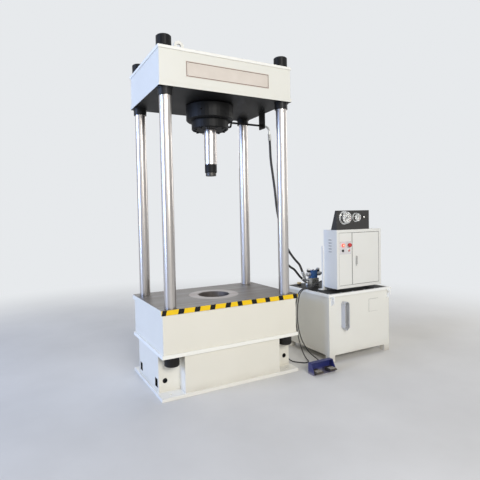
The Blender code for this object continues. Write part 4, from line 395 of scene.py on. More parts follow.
def seen_directly(tree):
    """1 where the eye, a reflection or clear glass looks at the surface itself."""
    seen = node(tree, "ShaderNodeLightPath")
    return seen["Is Camera Ray"] | seen["Is Glossy Ray"] | seen["Is Transmission Ray"]


def staged(name, bm, look):
    made = meshed(name, bm, look)
    return made


floor_finish, place = material("studio floor", roughness=0.75)
cloudy = place.noise(0.9, 5.0).spread(0.3, 0.7)
feed(floor_finish, base_color=cloudy.mix((0.60, 0.585, 0.56), (0.68, 0.665, 0.64)))
from_press = place.node("ShaderNodeVectorMath", {0: place}, operation="LENGTH")["Value"]
haze_reach = {0: from_press, 1: 2.6, 2: 6.4}
far = place.node("ShaderNodeMapRange", haze_reach, interpolation_type="SMOOTHSTEP")[0]
haze = place.node("ShaderNodeEmission", {"Color": SURROUND, "Strength": 1.0})[0]
tree = floor_finish.node_tree
lit = Wire(tree, tree.nodes["Principled BSDF"].outputs[0])
fading = place.node("ShaderNodeMixShader", {0: far * seen_directly(tree), 1: lit, 2: haze})[0]
connect(tree, fading, tree.nodes["Material Output"].inputs[0])
bm = bmesh.new()
bmesh.ops.create_circle(bm, cap_ends=True, radius=45, segments=96)
staged("studio_floor", bm, floor_finish).location.z = -0.0005

world = bpy.data.worlds.new("studio")
scene.world = world
world.use_nodes = True
tree = world.node_tree
tree.nodes.clear()
surround = node(tree, "ShaderNodeBackground", {"Color": SURROUND, "Strength": 1.0})[0]
ambient = node(tree, "ShaderNodeBackground", {"Color": (0.94, 0.96, 1.0), "Strength": 0.37})[0]
mixed = node(tree, "ShaderNodeMixShader", {0: seen_directly(tree), 1: ambient, 2: surround})[0]
node(tree, "ShaderNodeOutputWorld", {0: mixed})


for name, at, towards, width, height, power, colour in (
    ("front lamp", (-0.8, -7.2, 3.8), (0.9, 0, 1.0), 3.0, 2.2, 352, (1.0, 0.985, 0.945)),
    ("left lamp", (-9.0, 0.2, 3.0), (0, 0, 0.9), 4.0, 4.0, 680, (0.42, 0.585, 1.0)),
    ("back lamp", (2.5, 6.0, 4.0), (0.4, 0, 1.4), 4.0, 2.5, 110, (0.95, 0.98, 1.0)),
    ("right lamp", (7.5, 0.6, 3.0), (0.8, 0, 1.0), 2.5, 2.5, 90, (1.0, 0.97, 0.93)),
):
    light = bpy.data.lights.new(name, "AREA")
    light.shape, light.size, light.size_y, light.energy, light.color = "RECTANGLE", width, height, power, colour
    lamp = bpy.data.objects.new(name, light)
    aim = Vector(towards) - Vector(at)
    lamp.matrix_world = Matrix.Translation(at) @ aim.to_track_quat("-Z", "Y").to_matrix().to_4x4()
    lamp.visible_camera = False
    scene.collection.objects.link(lamp)

screen_finish, place = material("dark screen", roughness=0.9)
weave = place.noise(3.0, 2.0).spread(0.2, 0.8)
feed(screen_finish, base_color=weave.mix((0.05, 0.042, 0.036), (0.16, 0.13, 0.11)))
SCREEN_DISTANCE, SCREEN_HEIGHT = 7.5, Vector((0, 0, 3.6))
turns = ((205, 1.6), (243, 0.5), (262, 1.1), (300, 0.8), (335, 2.0), (20, 1.6), (66, 4.2), (110, 1.8), (160, 1.2))
for number, (angle, width) in enumerate(turns):
    out = Vector((cos(radians(angle)), sin(radians(angle)), 0))
    foot = Vector((PRESS_X, 0, 0)) + out * SCREEN_DISTANCE
    across = Vector((out.y, -out.x, 0)) * width / 2
    bm = bmesh.new()
    corners = (foot - across, foot + across, foot + across + SCREEN_HEIGHT, foot - across + SCREEN_HEIGHT)
    bm.faces.new([bm.verts.new(corner) for corner in corners])
    screen = staged(f"screen_{number}", bm, screen_finish)
    screen.visible_camera = screen.visible_diffuse = screen.visible_shadow = screen.visible_transmission = False


# Press frame
# Base, bed and crown are boxes welded from thick plate, filled, sanded and sprayed in a warm
# off-white enamel that has picked up floor dust low down and rubs on its corners.

# Sprayed enamel: cloudy tone, faint orange peel, dust that gathers low, and corners rubbed through
enamel_skin, given = effect(
    "enamel skin", ("Place", "Colour", "Shade", "Dust", "Worn", "Dust Height", "Gloss", "Wear", "Rounding"),
    ("Colour", "Roughness", "Normal"),
)
place = given["Place"]
large = place.noise(1.7, 5.0)
wiped = place.stretched((2.0, 2.0, 9.0)).noise(2.2, 5.0)
cloud = large.spread(0.38, 0.72, 0.0, 0.75) * place.noise(23.0, 5.0).spread(0.2, 0.8, 0.6, 1.0)
coat = cloud.mix(given["Colour"], given["Shade"])
low = (1.0 - place.axes()[2] / given["Dust Height"]).clamped()
dusty = (low ** 2.2 * wiped.spread(0.3, 0.7, 0.25, 0.95)).clamped()
coat = dusty.mix(coat, given["Dust"])
rounding = place.node("ShaderNodeBevel", {"Radius": given["Rounding"]}, samples=4)[0]
flat_face = place.node("ShaderNodeNewGeometry")["Normal"]
match = place.node("ShaderNodeVectorMath", {0: rounding, 1: flat_face}, operation="DOT_PRODUCT")["Value"]
corner = ((1.0 - match).clamped() * 5.0).clamped()
rubbed = (corner * place.noise(46.0, 4.0).spread(0.52, 0.66) * given["Wear"]).clamped()
peel = place.noise(330.0, 1.0).bump(0.10, 0.0007, Normal=rounding)
node(enamel_skin, "NodeGroupOutput", {
    "Colour": rubbed.mix(coat, given["Worn"]), "Normal": place.noise(6.0, 2.0).bump(0.05, 0.010, Normal=peel),
    "Roughness": given["Gloss"] + large.spread(0.25, 0.75, -0.05, 0.06) + dusty * 0.25,
})

# Ground and turned steel: fine grooves one way, broad streaks, and a brown film of oil
steel_skin, given = effect(
    "steel skin", ("Place", "Grain", "Colour", "Shade", "Film", "Film Amount", "Smoothness"),
    ("Colour", "Roughness", "Height"),
)
grooves = given["Grain"].noise(1.0, 4.0, 0.7)
broad = given["Place"].noise(3.1, 4.0)
shade = grooves.spread(0.32, 0.68) * broad.spread(0.25, 0.75, 0.5, 1.0)
filmed = broad.spread(0.48, 0.72) * given["Film Amount"]
node(steel_skin, "NodeGroupOutput", {
    "Colour": filmed.mix(shade.mix(given["Colour"], given["Shade"]), given["Film"]), "Height": grooves,
    "Roughness": given["Smoothness"] + grooves.spread(0.2, 0.8, -0.05, 0.08),
})


def enamel(
    name, colour, shade, dust_height=0.42, gloss=0.36, wear=0.8, coat=0.2, rounding=0.0028,
    dust=(0.46, 0.41, 0.34), worn=(0.16, 0.14, 0.12),
):
    """A sprayed finish, with its place wire and its skin's outputs."""
    look, place = material(name, coat_weight=coat, coat_roughness=0.22)
    return look, place, cover(look, enamel_skin, {
        "Place": place, "Colour": colour, "Shade": shade, "Dust": dust, "Worn": worn,
        "Dust Height": dust_height, "Gloss": gloss, "Wear": wear, "Rounding": rounding,
    })


def steel(
    name, colour, shade, film, smoothness, grain, amount=0.35, bump=0.25, distance=0.0003, patches=(1, 1, 1),
):
    """A bare or plated metal finish, with its place wire and its skin's outputs."""
    look, place = material(name, metallic=1.0)
    return look, place, cover(look, steel_skin, {
        "Place": place.stretched(patches), "Grain": place.stretched(grain), "Colour": colour, "Shade": shade,
        "Film": film, "Film Amount": amount, "Smoothness": smoothness,
    }, bump, distance)


def dress(look, *names):
    """Puts a finish on CAD nodes as they are."""
    for name in names:
        for number in range(len(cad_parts[name].material_slots)):
            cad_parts[name].material_slots[number].material = look


# Inside its corner pockets the base is painted near-black as painted shade; its foot plate is free of dust and
# painted lighter than the box, partly as a painted highlight
BASE_PLATE_TOP, POCKET_X, POCKET_Y = 0.028, 0.6665, 0.2885
PRESS_COLOURS = (0.775, 0.745, 0.655), (0.735, 0.705, 0.615)
press_enamel, place, skin = enamel("press enamel", *PRESS_COLOURS, 0.12)
x, y, z = place.axes()
# Near-black painted shade fills the insides of the corner pockets
pocket_shade_mask = (abs(x) < POCKET_X) * (abs(y) < POCKET_Y) * (z > BASE_PLATE_TOP + 0.002)
underside_black_and_pocket_shade = place.noise(30.0, 4.0).mix((0.006, 0.006, 0.006), (0.022, 0.020, 0.018))
# The foot plate is kept free of dust and painted lighter than the box, partly as a painted highlight
painted_highlight = ((z < BASE_PLATE_TOP + 0.0004) * 0.75).mix(skin["Colour"], (0.86, 0.84, 0.78))
feed(press_enamel, base_color=pocket_shade_mask.mix(painted_highlight, underside_black_and_pocket_shade))
dress(press_enamel, "base_frame")
weld_enamel = enamel("weld enamel", (0.78, 0.755, 0.67), (0.73, 0.70, 0.61), 0.01, 0.30, 0.0)[0]

# The bed wears the same enamel below its ground top, which is dark, streaked and oily, with a
# paler ring turned round the drop hole
BED_FLANGE_TOP, BED_TOP, DROP_HOLE = 0.3823, 0.752, 0.150
bed_finish, place, skin = enamel("bed enamel and ground top", *PRESS_COLOURS, 0.12)
x, y, z = place.axes()
upward = place.node("ShaderNodeNewGeometry")["Normal"].axes()[2]
out = (x ** 2.0 + y ** 2.0).maths("SQRT")
bare = ((z > BED_TOP - 0.003) * (upward > 0.5)) | ((out < DROP_HOLE + 0.003) * (z > 0.40))
ground = place.node("ShaderNodeGroup", {
    "Place": place, "Grain": place.stretched((2.0, 260.0, 2.0)), "Colour": (0.132, 0.116, 0.105),
    "Shade": (0.086, 0.074, 0.066), "Film": (0.100, 0.074, 0.060), "Film Amount": 0.5, "Smoothness": 0.40,
}, node_tree=steel_skin)
circles = place.node("ShaderNodeCombineXYZ", {0: out * 420.0})[0].noise(1.0, 2.0).spread(0.3, 0.7, 0.5, 1.0)
turned_ring = out.spread(0.235, 0.245, 1.0, 0.0) * out.spread(DROP_HOLE, 0.168, 0.2, 0.6) * circles
streaks = place.stretched((0.55, 15.0, 1.0), (0, 0, radians(2))).noise(1.0, 5.0, 0.65)
streaked = streaks.spread(0.34, 0.58).mix((0.060, 0.052, 0.046), ground["Colour"])
streaked = streaks.spread(0.58, 0.72, 0.0, 0.5).mix(streaked, (0.22, 0.195, 0.18))
# The flange and all below its top are painted lighter: a painted highlight on the flange
painted_highlight = (z < BED_FLANGE_TOP + 0.0005).mix(skin["Colour"], (0.89, 0.875, 0.81))
sheen = {0: bare, 2: skin["Roughness"], 3: ground["Roughness"] + streaks.spread(0.35, 0.65, -0.10, 0.12)}
feed(
    bed_finish, base_color=bare.mix(painted_highlight, turned_ring.mix(streaked, (0.40, 0.35, 0.33))), metallic=bare * 0.55,
    roughness=place.node("ShaderNodeMix", sheen)[0], coat_weight=(1.0 - bare) * 0.2, specular_ior_level=0.12,
    normal=ground["Height"].bump(bare * 0.3, 0.0003, Normal=skin["Normal"]),
)
dress(bed_finish, "bed_frame")

# The crown is black underneath, on the four column bosses and on the pipe bracket
CROWN_BOTTOM, CROWN_PLATE, CROWN_TOP = 2.559, 2.856, 2.880
crown_finish, place, skin = enamel("crown enamel", (0.755, 0.745, 0.685), (0.715, 0.705, 0.645), 0.01, wear=0.3)
z = place.axes()[2]
under = z < CROWN_BOTTOM + 0.0008
underside_black_and_pocket_shade = place.noise(5.0, 4.0).mix((0.003, 0.003, 0.0032), (0.011, 0.0105, 0.010))
# The top plate and what stands on it are painted lighter: a painted highlight along the crown's top edge
painted_highlight = (z > CROWN_PLATE + 0.0012).mix(skin["Colour"], (0.86, 0.85, 0.80))
feed(
    crown_finish, base_color=under.mix(painted_highlight, underside_black_and_pocket_shade), roughness=skin["Roughness"] + under * 0.10,
    coat_weight=(1.0 - under) * 0.2, specular_ior_level=0.28,
)
dress(crown_finish, "crown_frame")


def slab(bm, low, high, finish=0):
    """A box between two corners."""
    xs, ys, zs = zip(low, high)
    corners = [bm.verts.new((x, y, z)) for x in xs for y in ys for z in zs]
    for ring in ((0, 1, 3, 2), (4, 6, 7, 5), (0, 4, 5, 1), (2, 3, 7, 6), (0, 2, 6, 4), (1, 5, 7, 3)):
        bm.faces.new([corners[index] for index in ring]).material_index = finish


def plate(bm, outline, deeper, finish=0):
    """A closed sheet from the front outline and the same outline further back."""
    front, back = [bm.verts.new(point) for point in outline], [bm.verts.new(point) for point in deeper]
    bm.faces.new(front).material_index = finish
    bm.faces.new(back[::-1]).material_index = finish
    for index in range(len(front)):
        bm.faces.new((front[index - 1], back[index - 1], back[index], front[index])).material_index = finish


def geometry_tree(name, inputs):
    """An empty geometry tree with named inputs for its sizes, and these as wires."""
    tree = bpy.data.node_groups.new(name, "GeometryNodeTree")
    tree.interface.new_socket("Geometry", in_out="OUTPUT", socket_type="NodeSocketGeometry")
    for label, kind in {"Geometry": "Geometry", **inputs, "Finish": "Material"}.items():
        tree.interface.new_socket(label, in_out="INPUT", socket_type="NodeSocket" + kind)
    return tree, node(tree, "NodeGroupInput")


def repeated(given, placing, smooth=False, centre=None):
    """Ends a geometry tree: instances on points, made real, with the tree's finish."""
    made = given["Geometry"].node("GeometryNodeInstanceOnPoints", placing)[0]
    if centre:
        made = made.node("GeometryNodeTransform", {0: made, "Translation": centre})[0]
    made = made.node("GeometryNodeRealizeInstances", {0: made})[0]
    if smooth:
        made = made.node("GeometryNodeSetShadeSmooth", {0: made})[0]
    made = made.node("GeometryNodeSetMaterial", {0: made, "Material": given["Finish"]})[0]
    made.node("NodeGroupOutput", {0: made})


def grown(name, bm, tree, values, body="machine"):
    """The plain mesh that a geometry tree makes from a carrier mesh."""
    carrier = meshed(name + "_carrier", bm)
    modifier = carrier.modifiers.new(name, "NODES")
    modifier.node_group = tree
    sockets = {socket.name: socket.identifier for socket in tree.interface.items_tree if socket.in_out == "INPUT"}
    for label, value in values.items():
        modifier[sockets[label]] = value
    graph = bpy.context.evaluated_depsgraph_get()
    made = bpy.data.objects.new(name, bpy.data.meshes.new_from_object(carrier.evaluated_get(graph)))
    bpy.data.objects.remove(carrier)
    scene.collection.objects.link(made)
    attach(made, body)


# Weld beads
# The plates of the press and the tank meet in painted fillet welds, laid in short overlapping
# ripples along each joint.

bead_tree, given = geometry_tree(
    "weld bead", {"Pitch": "Float", "Width": "Float", "Unevenness": "Float", "Seed": "Int"}
)
path = node(bead_tree, "GeometryNodeMeshToCurve", {0: given["Geometry"]})[0]
spots = path.node("GeometryNodeCurveToPoints", {"Curve": path, "Length": given["Pitch"]}, mode="LENGTH")
ripple = path.node("GeometryNodeMeshUVSphere", {"Segments": 7, "Rings": 4, "Radius": 0.5})[0]
reach = {2: 1.0 - given["Unevenness"], 3: given["Unevenness"] + 1.0, "Seed": given["Seed"]}
size = given["Width"] * path.node("FunctionNodeRandomValue", reach, data_type="FLOAT")[1]
shape = path.node("ShaderNodeCombineXYZ", {0: size, 1: size, 2: given["Pitch"] * 1.7})[0]
placing = {"Points": spots["Points"], "Instance": ripple, "Rotation": spots["Rotation"], "Scale": shape}
repeated(given, placing, smooth=True)


def run(bm, *points, closed=False):
    """A line of edges for a bead to follow."""
    made = [bm.verts.new(point) for point in points]
    for first, second in zip(made[-1:] + made if closed else made, made if closed else made[1:]):
        bm.edges.new((first, second))


def loop(bm, half_x, half_y, z, x=0, y=0):
    corners = ((-1, -1), (1, -1), (1, 1), (-1, 1))
    run(bm, *[(x + side * half_x, y + end * half_y, z) for side, end in corners], closed=True)


def welds(name, bm, pitch, width, unevenness, seed):
    sizes = {"Pitch": pitch, "Width": width, "Unevenness": unevenness, "Seed": seed, "Finish": weld_enamel}
    grown(name, bm, bead_tree, sizes)


FOOT_X, FOOT_Y, RIB_X, RIB_Y = 0.668, 0.413, 0.476, 0.290
bm = bmesh.new()
loop(bm, 0.6635, 0.4230, BED_FLANGE_TOP)
loop(bm, 0.6635, 0.4230, BED_TOP - 0.042)
for x in (-1, 1):
    for y in (-1, 1):
        corner = ((RIB_X, FOOT_Y), (RIB_X, RIB_Y), (FOOT_X, RIB_Y))
        run(bm, *[(x * out, y * back, BASE_PLATE_TOP) for out, back in corner])
for side in (-1, 1):
    run(bm, *[(end * RIB_X, side * FOOT_Y, BASE_PLATE_TOP) for end in (-1, 1)])
    run(bm, *[(side * FOOT_X, end * RIB_Y, BASE_PLATE_TOP) for end in (-1, 1)])
welds("press_welds", bm, 0.0055, 0.0062, 0.18, 4)
bm = bmesh.new()
loop(bm, 0.639, 0.4255, 2.589)
loop(bm, 0.639, 0.4255, CROWN_PLATE)
for x, y in ((-0.420, -0.300), (0.420, 0.300)):
    loop(bm, 0.045, 0.011, CROWN_TOP, x, y)
welds("crown_welds", bm, 0.0055, 0.0065, 0.18, 9)


# Edge tape and nameplate
# Black and yellow vinyl tape, 41 mm wide, is stuck along the front edge of the bed's top plate,
# its stripes leaning in towards the middle. The thin plate riveted to the crown is bare.


def sticker(name, first, second, roughness=0.42, scuff=(0.42, 0.38, 0.33), amount=0.55):
    """Printed vinyl or enamelled plate, faded unevenly and scuffed."""
    look, place = material(name, coat_weight=0.05, coat_roughness=0.35, specular_ior_level=0.22)
    faded = place.noise(7.0, 4.0).spread(0.3, 0.7).mix(first, second)
    marks = place.stretched((1.0, 1.0, 3.0)).noise(38.0, 6.0, 0.7)
    feed(
        look, base_color=marks.spread(0.56, 0.72, 0.0, amount).mix(faded, scuff), normal=marks.bump(0.15, 0.0004),
        roughness=marks.spread(0.3, 0.7, roughness - 0.08, roughness + 0.14),
    )
    return look


def boxed(name, look, boxes, body="machine"):
    """A piece made of boxes, each given by two corners and its finish's number."""
    bm = bmesh.new()
    for box in boxes:
        slab(bm, *box)
    return skinned(name, bm, look, body)


def strips(left, right, low, high, width, front, back, finish=0):
    """Four thin strips just inside a rectangle that faces the front."""
    inner_low, inner_high = low + width, high - width
    spans = (
        (left, right, low, inner_low), (left, right, inner_high, high),
        (left, left + width, inner_low, inner_high), (right - width, right, inner_low, inner_high),
    )
    return [((a, front, c), (b, back, d), finish) for a, b, c, d in spans]


tape_yellow = sticker("tape yellow", (0.90, 0.60, 0.012), (0.86, 0.54, 0.010), amount=0.15)
tape_black = sticker("tape black", (0.005, 0.005, 0.005), (0.010, 0.0095, 0.009), 0.6, (0.09, 0.085, 0.08), 0.2)
TAPE_LOW, TAPE_HIGH, TAPE_END, TAPE_FACE, TAPE_LEAN = 0.7104, 0.7518, 0.6773, -0.4370, 0.005
bm = bmesh.new()
slab(bm, (-TAPE_END, TAPE_FACE - 0.0004, TAPE_LOW), (TAPE_END, TAPE_FACE - 0.0001, TAPE_HIGH))
for start, end in (
    (-0.6715, -0.6337), (-0.5307, -0.4799), (-0.3852, -0.3359), (-0.2421, -0.1938), (-0.0944, -0.0442),
    (0.0247, 0.0714), (0.1695, 0.2211), (0.3132, 0.3634), (0.4623, 0.5109), (0.6262, 0.6732),
):
    lean = TAPE_LEAN if start < 0 else -TAPE_LEAN
    across = (start - lean, TAPE_LOW), (end - lean, TAPE_LOW), (end + lean, TAPE_HIGH), (start + lean, TAPE_HIGH)
    outline = [(max(-TAPE_END, min(TAPE_END, x)), z) for x, z in across]
    plate(bm, *[[(x, TAPE_FACE - proud, z) for x, z in outline] for proud in (0.0006, 0.0003)], 1)
skinned("edge_tape", bm, (tape_yellow, tape_black))

plate_cream = sticker("nameplate cream", (0.70, 0.635, 0.57), (0.64, 0.575, 0.51), 0.34, (0.56, 0.50, 0.44), 0.25)
plate_brown = sticker("nameplate border", (0.22, 0.155, 0.125), (0.19, 0.135, 0.11), 0.34, (0.4, 0.3, 0.26), 0.3)
PLATE_FACE, PLATE_LEFT, PLATE_RIGHT, PLATE_LOW, PLATE_HIGH = -0.4255, -0.410, 0.400, 2.653, 2.783
PLATE_INSET, PLATE_LINE = 0.005, 0.0060
sheet = (PLATE_LEFT, PLATE_FACE - 0.0016, PLATE_LOW), (PLATE_RIGHT, PLATE_FACE - 0.0001, PLATE_HIGH)
border = strips(
    PLATE_LEFT + PLATE_INSET, PLATE_RIGHT - PLATE_INSET, PLATE_LOW + PLATE_INSET, PLATE_HIGH - PLATE_INSET,
    PLATE_LINE, PLATE_FACE - 0.0019, PLATE_FACE - 0.0015, 1,
)
boxed("nameplate", (plate_cream, plate_brown), [sheet, *border])


# Columns, ram and nuts
# Columns and ram are turned, ground and hard chromed. The nuts, the cylinder with its ring nut and
# gland, and the collar at the ram's end are machined steel in semi-gloss black.

CHROME = {"amount": 0.3, "bump": 0.01, "distance": 0.0001, "patches": (3.0, 3.0, 0.25)}
column_colours = (0.64, 0.61, 0.58), (0.40, 0.365, 0.335), (0.30, 0.25, 0.21)
column_chrome = steel("column chrome", *column_colours, 0.31, (62.0, 62.0, 0.12), **CHROME)[0]
CORNERS = ("front_left", "front_right", "rear_left", "rear_right")
dress(column_chrome, *["column_" + corner for corner in CORNERS])
RAM_STUB_TOP = 1.9236
ram_colours = (0.55, 0.52, 0.50), (0.38, 0.35, 0.33), (0.31, 0.255, 0.22)
ram_chrome, place, skin = steel("ram chrome", *ram_colours, 0.30, (40.0, 40.0, 0.12), **CHROME)
stub = place.axes()[2] < RAM_STUB_TOP
stained = stub.mix(skin["Colour"], (0.070, 0.066, 0.062))
feed(ram_chrome, base_color=stained, roughness=skin["Roughness"] + stub * 0.15)
dress(ram_chrome, "ram")


def black(name, roughness=0.36, colour=(0.006, 0.006, 0.0062), worn=(0.22, 0.20, 0.18), wear=0.5):
    """Semi-gloss black on machined steel, dusty in patches and bright where corners are rubbed."""
    shade, dust = (0.010, 0.0095, 0.009), (0.12, 0.10, 0.085)
    look = enamel(name, colour, shade, 0.5, roughness, wear, 0.0, dust=dust, worn=worn)[0]
    feed(look, specular_ior_level=0.18)
    return look


nut_black = black("nut black", 0.42, wear=0.7)
dress(nut_black, *[kind + corner for kind in ("base_nut_", "top_nut_") for corner in CORNERS])
cylinder_parts = ("cylinder_barrel", "cylinder_ring_nut", "gland_ring", "rod_collar", "rod_port_pipe")
dress(black("cylinder black", 0.50), *cylinder_parts)


# Pipes and fittings
# The pipe to the cylinder's cap end, the fitting on top of the rod-side hose and the ferrules' rings
# are zinc plated steel, slightly yellow and dull.

FINE = (90.0, 90.0, 90.0)
zinc = steel("zinc plate", (0.56, 0.56, 0.54), (0.34, 0.34, 0.33), (0.40, 0.35, 0.25), 0.34, FINE, 0.3, 0.2)[0]
dress(zinc, "cap_port_pipe", "rod_hose_upper_fitting")


# Screws and rivets
# Socket screws hold the cylinder's end, the valve, the gauges and their panel, hexagon screws the
# tank's cover, and small hollow rivets the crown's plate. Each stands on a point of a carrier mesh.

screw_tree, given = geometry_tree(
    "screws", {"Facing": "Vector", "Radius": "Float", "Height": "Float", "Sides": "Int", "Socket": "Float"}
)
spots = node(screw_tree, "GeometryNodeMeshToPoints", {0: given["Geometry"]})[0]
turn = spots.node("FunctionNodeAlignRotationToVector", {"Vector": given["Facing"]}, axis="Z")[0]
sizes = {"Vertices": given["Sides"], "Radius": given["Radius"], "Depth": given["Height"]}
head = spots.node("GeometryNodeMeshCylinder", sizes)
lift = spots.node("ShaderNodeCombineXYZ", {2: given["Height"] / 2.0})[0]
rim = spots.node("GeometryNodeExtrudeMesh", {"Mesh": head[0], "Selection": head["Top"], "Offset Scale": 0.0})
scaled = {0: rim[0], "Selection": rim["Top"], "Scale": given["Socket"]}
inner = spots.node("GeometryNodeScaleElements", scaled)[0]
sinking = {"Mesh": inner, "Selection": rim["Top"], "Offset Scale": given["Height"] * -0.45}
socket = spots.node("GeometryNodeExtrudeMesh", sinking)[0]
socket = spots.node("GeometryNodeTransform", {0: socket, "Translation": lift})[0]
repeated(given, {"Points": spots, "Instance": socket, "Rotation": turn})
UP = (0, 0, 1)


def screws_at(name, places, facing, radius, height, sides, socket, look):
    bm = bmesh.new()
    for place in places:
        bm.verts.new(place)
    values = {"Facing": facing, "Radius": radius, "Height": height, "Sides": sides, "Socket": socket}
    grown(name, bm, screw_tree, {**values, "Finish": look})


def front_screws(name, places, radius, height, look):
    screws_at(name, places, (0, -1, 0), radius, height, 14, 0.5, look)


def four(left, right, low, high, y):
    return [(x, y, z) for x in (left, right) for z in (low, high)]


screw_black = black("screw black", 0.3, worn=(0.30, 0.28, 0.26), wear=1.0)
turns = [2 * pi * index / 10 for index in range(10)]
end_screws = [(0.148 * cos(turn), 0.148 * sin(turn), 2.9719) for turn in turns]
screws_at("cylinder_end_screws", end_screws, UP, 0.012, 0.014, 20, 0.55, screw_black)
rivets = four(PLATE_LEFT + 0.020, PLATE_RIGHT - 0.020, PLATE_LOW + 0.020, PLATE_HIGH - 0.020, PLATE_FACE - 0.0016)
front_screws("nameplate_rivets", rivets, 0.0035, 0.0018, zinc)

# Three rings that the crimping jaws leave on each hose ferrule
bm = bmesh.new()
for line in (rod_hose_line, rod_hose_line[::-1], cap_hose_line, cap_hose_line[::-1]):
    way = (line[0] - line[1]).normalized()
    for number in range(3):
        middle = line[0] + way * (0.014 + 0.018 * number)
        marks = [middle + way * shift for shift in (-0.0045, -0.003, 0.003, 0.0045)]
        swept(bm, marks, (0.0162, 0.0174, 0.0174, 0.0162), 24)
skinned("hose_ferrule_rings", bm, zinc)


# Oil tank
# A welded sheet tank on four legs, in a greyer coat of the same enamel, with a dark cover plate
# that oil and dust have stained, a level gauge, lifting ears and a blank plate on its front. Its top
# rim and its ears are painted lighter, as a painted highlight.

TANK_LEFT, TANK_RIGHT, TANK_FRONT, TANK_BACK, RIM_LOW, EAR_LOW = 1.071, 1.915, -0.430, 0.290, 0.6690, 0.56
tank_enamel, place, skin = enamel("tank enamel", (0.80, 0.79, 0.73), (0.76, 0.745, 0.69), 0.20, 0.34, 0.5)
x, y, z = place.axes()
# The top rim and the lifting ears are painted lighter: a painted highlight
rim = (z > RIM_LOW) | ((y < TANK_FRONT - 0.0035) * (z > EAR_LOW) * 0.8)
feed(tank_enamel, base_color=rim.mix(skin["Colour"], (0.90, 0.895, 0.86)))
dress(tank_enamel, "tank_body")
dress(enamel("guard grey", (0.54, 0.55, 0.58), (0.48, 0.49, 0.52), 0.01, 0.30, 0.3)[0], "level_guard")
cover_black = black("cover black", 0.55, (0.014, 0.013, 0.012), (0.16, 0.14, 0.12), 0.7)
dress(cover_black, "tank_cover")
EVEN, LENGTHWISE = (60.0, 60.0, 60.0), (60.0, 60.0, 200.0)
bright = steel("bright steel", (0.62, 0.61, 0.58), (0.36, 0.35, 0.33), (0.30, 0.25, 0.18), 0.26, LENGTHWISE, 0.3)[0]
dress(bright, "motor_rotor", "pump", "manifold_block", "door_handle")
silver = steel("satin silver", (0.84, 0.84, 0.83), (0.70, 0.70, 0.69), (0.5, 0.47, 0.42), 0.36, EVEN, 0.2, 0.05)[0]
dress(silver, "level_gauge", "rod_hose_lower_fitting", "cap_hose_lower_fitting")
brass = steel("brass", (0.68, 0.56, 0.34), (0.42, 0.33, 0.18), (0.30, 0.20, 0.10), 0.28, LENGTHWISE, 0.3)[0]
dress(brass, "filler_cap")

# Welded corners of the tank, and the hexagon screws round its cover
bm = bmesh.new()
for x, y in ((TANK_LEFT, TANK_FRONT), (TANK_RIGHT, TANK_FRONT), (TANK_RIGHT, TANK_BACK), (TANK_LEFT, TANK_BACK)):
    run(bm, (x, y, 0.074), (x, y, 0.668))
welds("tank_welds", bm, 0.005, 0.0050, 0.2, 12)
COVER_TOP, COVER_MARGIN = 0.6944, 0.016
low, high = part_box("tank_cover")
left, front = (edge + COVER_MARGIN for edge in low[:2])
right, back = (edge - COVER_MARGIN for edge in high[:2])
spots = [(left + (right - left) * step / 5, y, COVER_TOP) for step in range(6) for y in (front, back)]
spots += [(x, front + (back - front) * step / 4, COVER_TOP) for step in (1, 2, 3) for x in (left, right)]
screws_at("cover_screws", spots, UP, 0.0085, 0.0055, 6, 0.3, zinc)

# A thin dark line of painted shade round the raised blank plate on the tank's front; the same dark grey serves
# every painted shade strip
shade_strip_grey = sticker("painted shade grey", (0.20, 0.195, 0.185), (0.16, 0.155, 0.15), 0.6, (0.12, 0.12, 0.115), 0.3)
plate_shade_strips = strips(1.6172, 1.7528, 0.4582, 0.5938, 0.0024, TANK_FRONT - 0.0006, TANK_FRONT + 0.0001)
boxed("blank_plate_seam", shade_strip_grey, plate_shade_strips)

# Sight tube of the level gauge: clear plastic with oil in its lower half, beside a white scale
OIL_LEVEL, TUBE_X, TUBE_Y = 0.462, 1.262, -0.4393
sight, place = material("sight tube oil", roughness=0.12, coat_weight=0.6)
streaky = place.stretched((1.0, 1.0, 0.2)).noise(90.0).spread(0.3, 0.7)
clear = streaky.mix((0.74, 0.75, 0.72), (0.60, 0.61, 0.59))
feed(sight, base_color=(place.axes()[2] < OIL_LEVEL).mix(clear, (0.52, 0.42, 0.20)))
bm = bmesh.new()
tube = [Vector((TUBE_X, TUBE_Y, z)) for z in (0.3935, 0.3945, 0.5555, 0.5565)]
swept(bm, tube, (0.0071, 0.0076, 0.0076, 0.0071), 20)
skinned("sight_tube_skin", bm, sight)
scale_white = sticker("scale white", (0.80, 0.80, 0.78), (0.72, 0.72, 0.70), 0.4, (0.5, 0.48, 0.44), 0.3)
boxed("level_scale", scale_white, [((1.2705, -0.4340, 0.400), (1.2825, -0.4332, 0.550))])
marks = [(0.405 + number * 0.0093, 0.0 if number % 5 == 0 else 0.0025) for number in range(16)]
marks = [((1.2710 + start, -0.4343, z), (1.2820, -0.4339, z + 0.0008)) for z, start in marks]
boxed("level_scale_marks", tape_black, marks)


# Motor and valve
# A finned motor in dark grey enamel under a black cowl, and a directional valve in blue enamel
# between two solenoids with silver shells and black plugs.

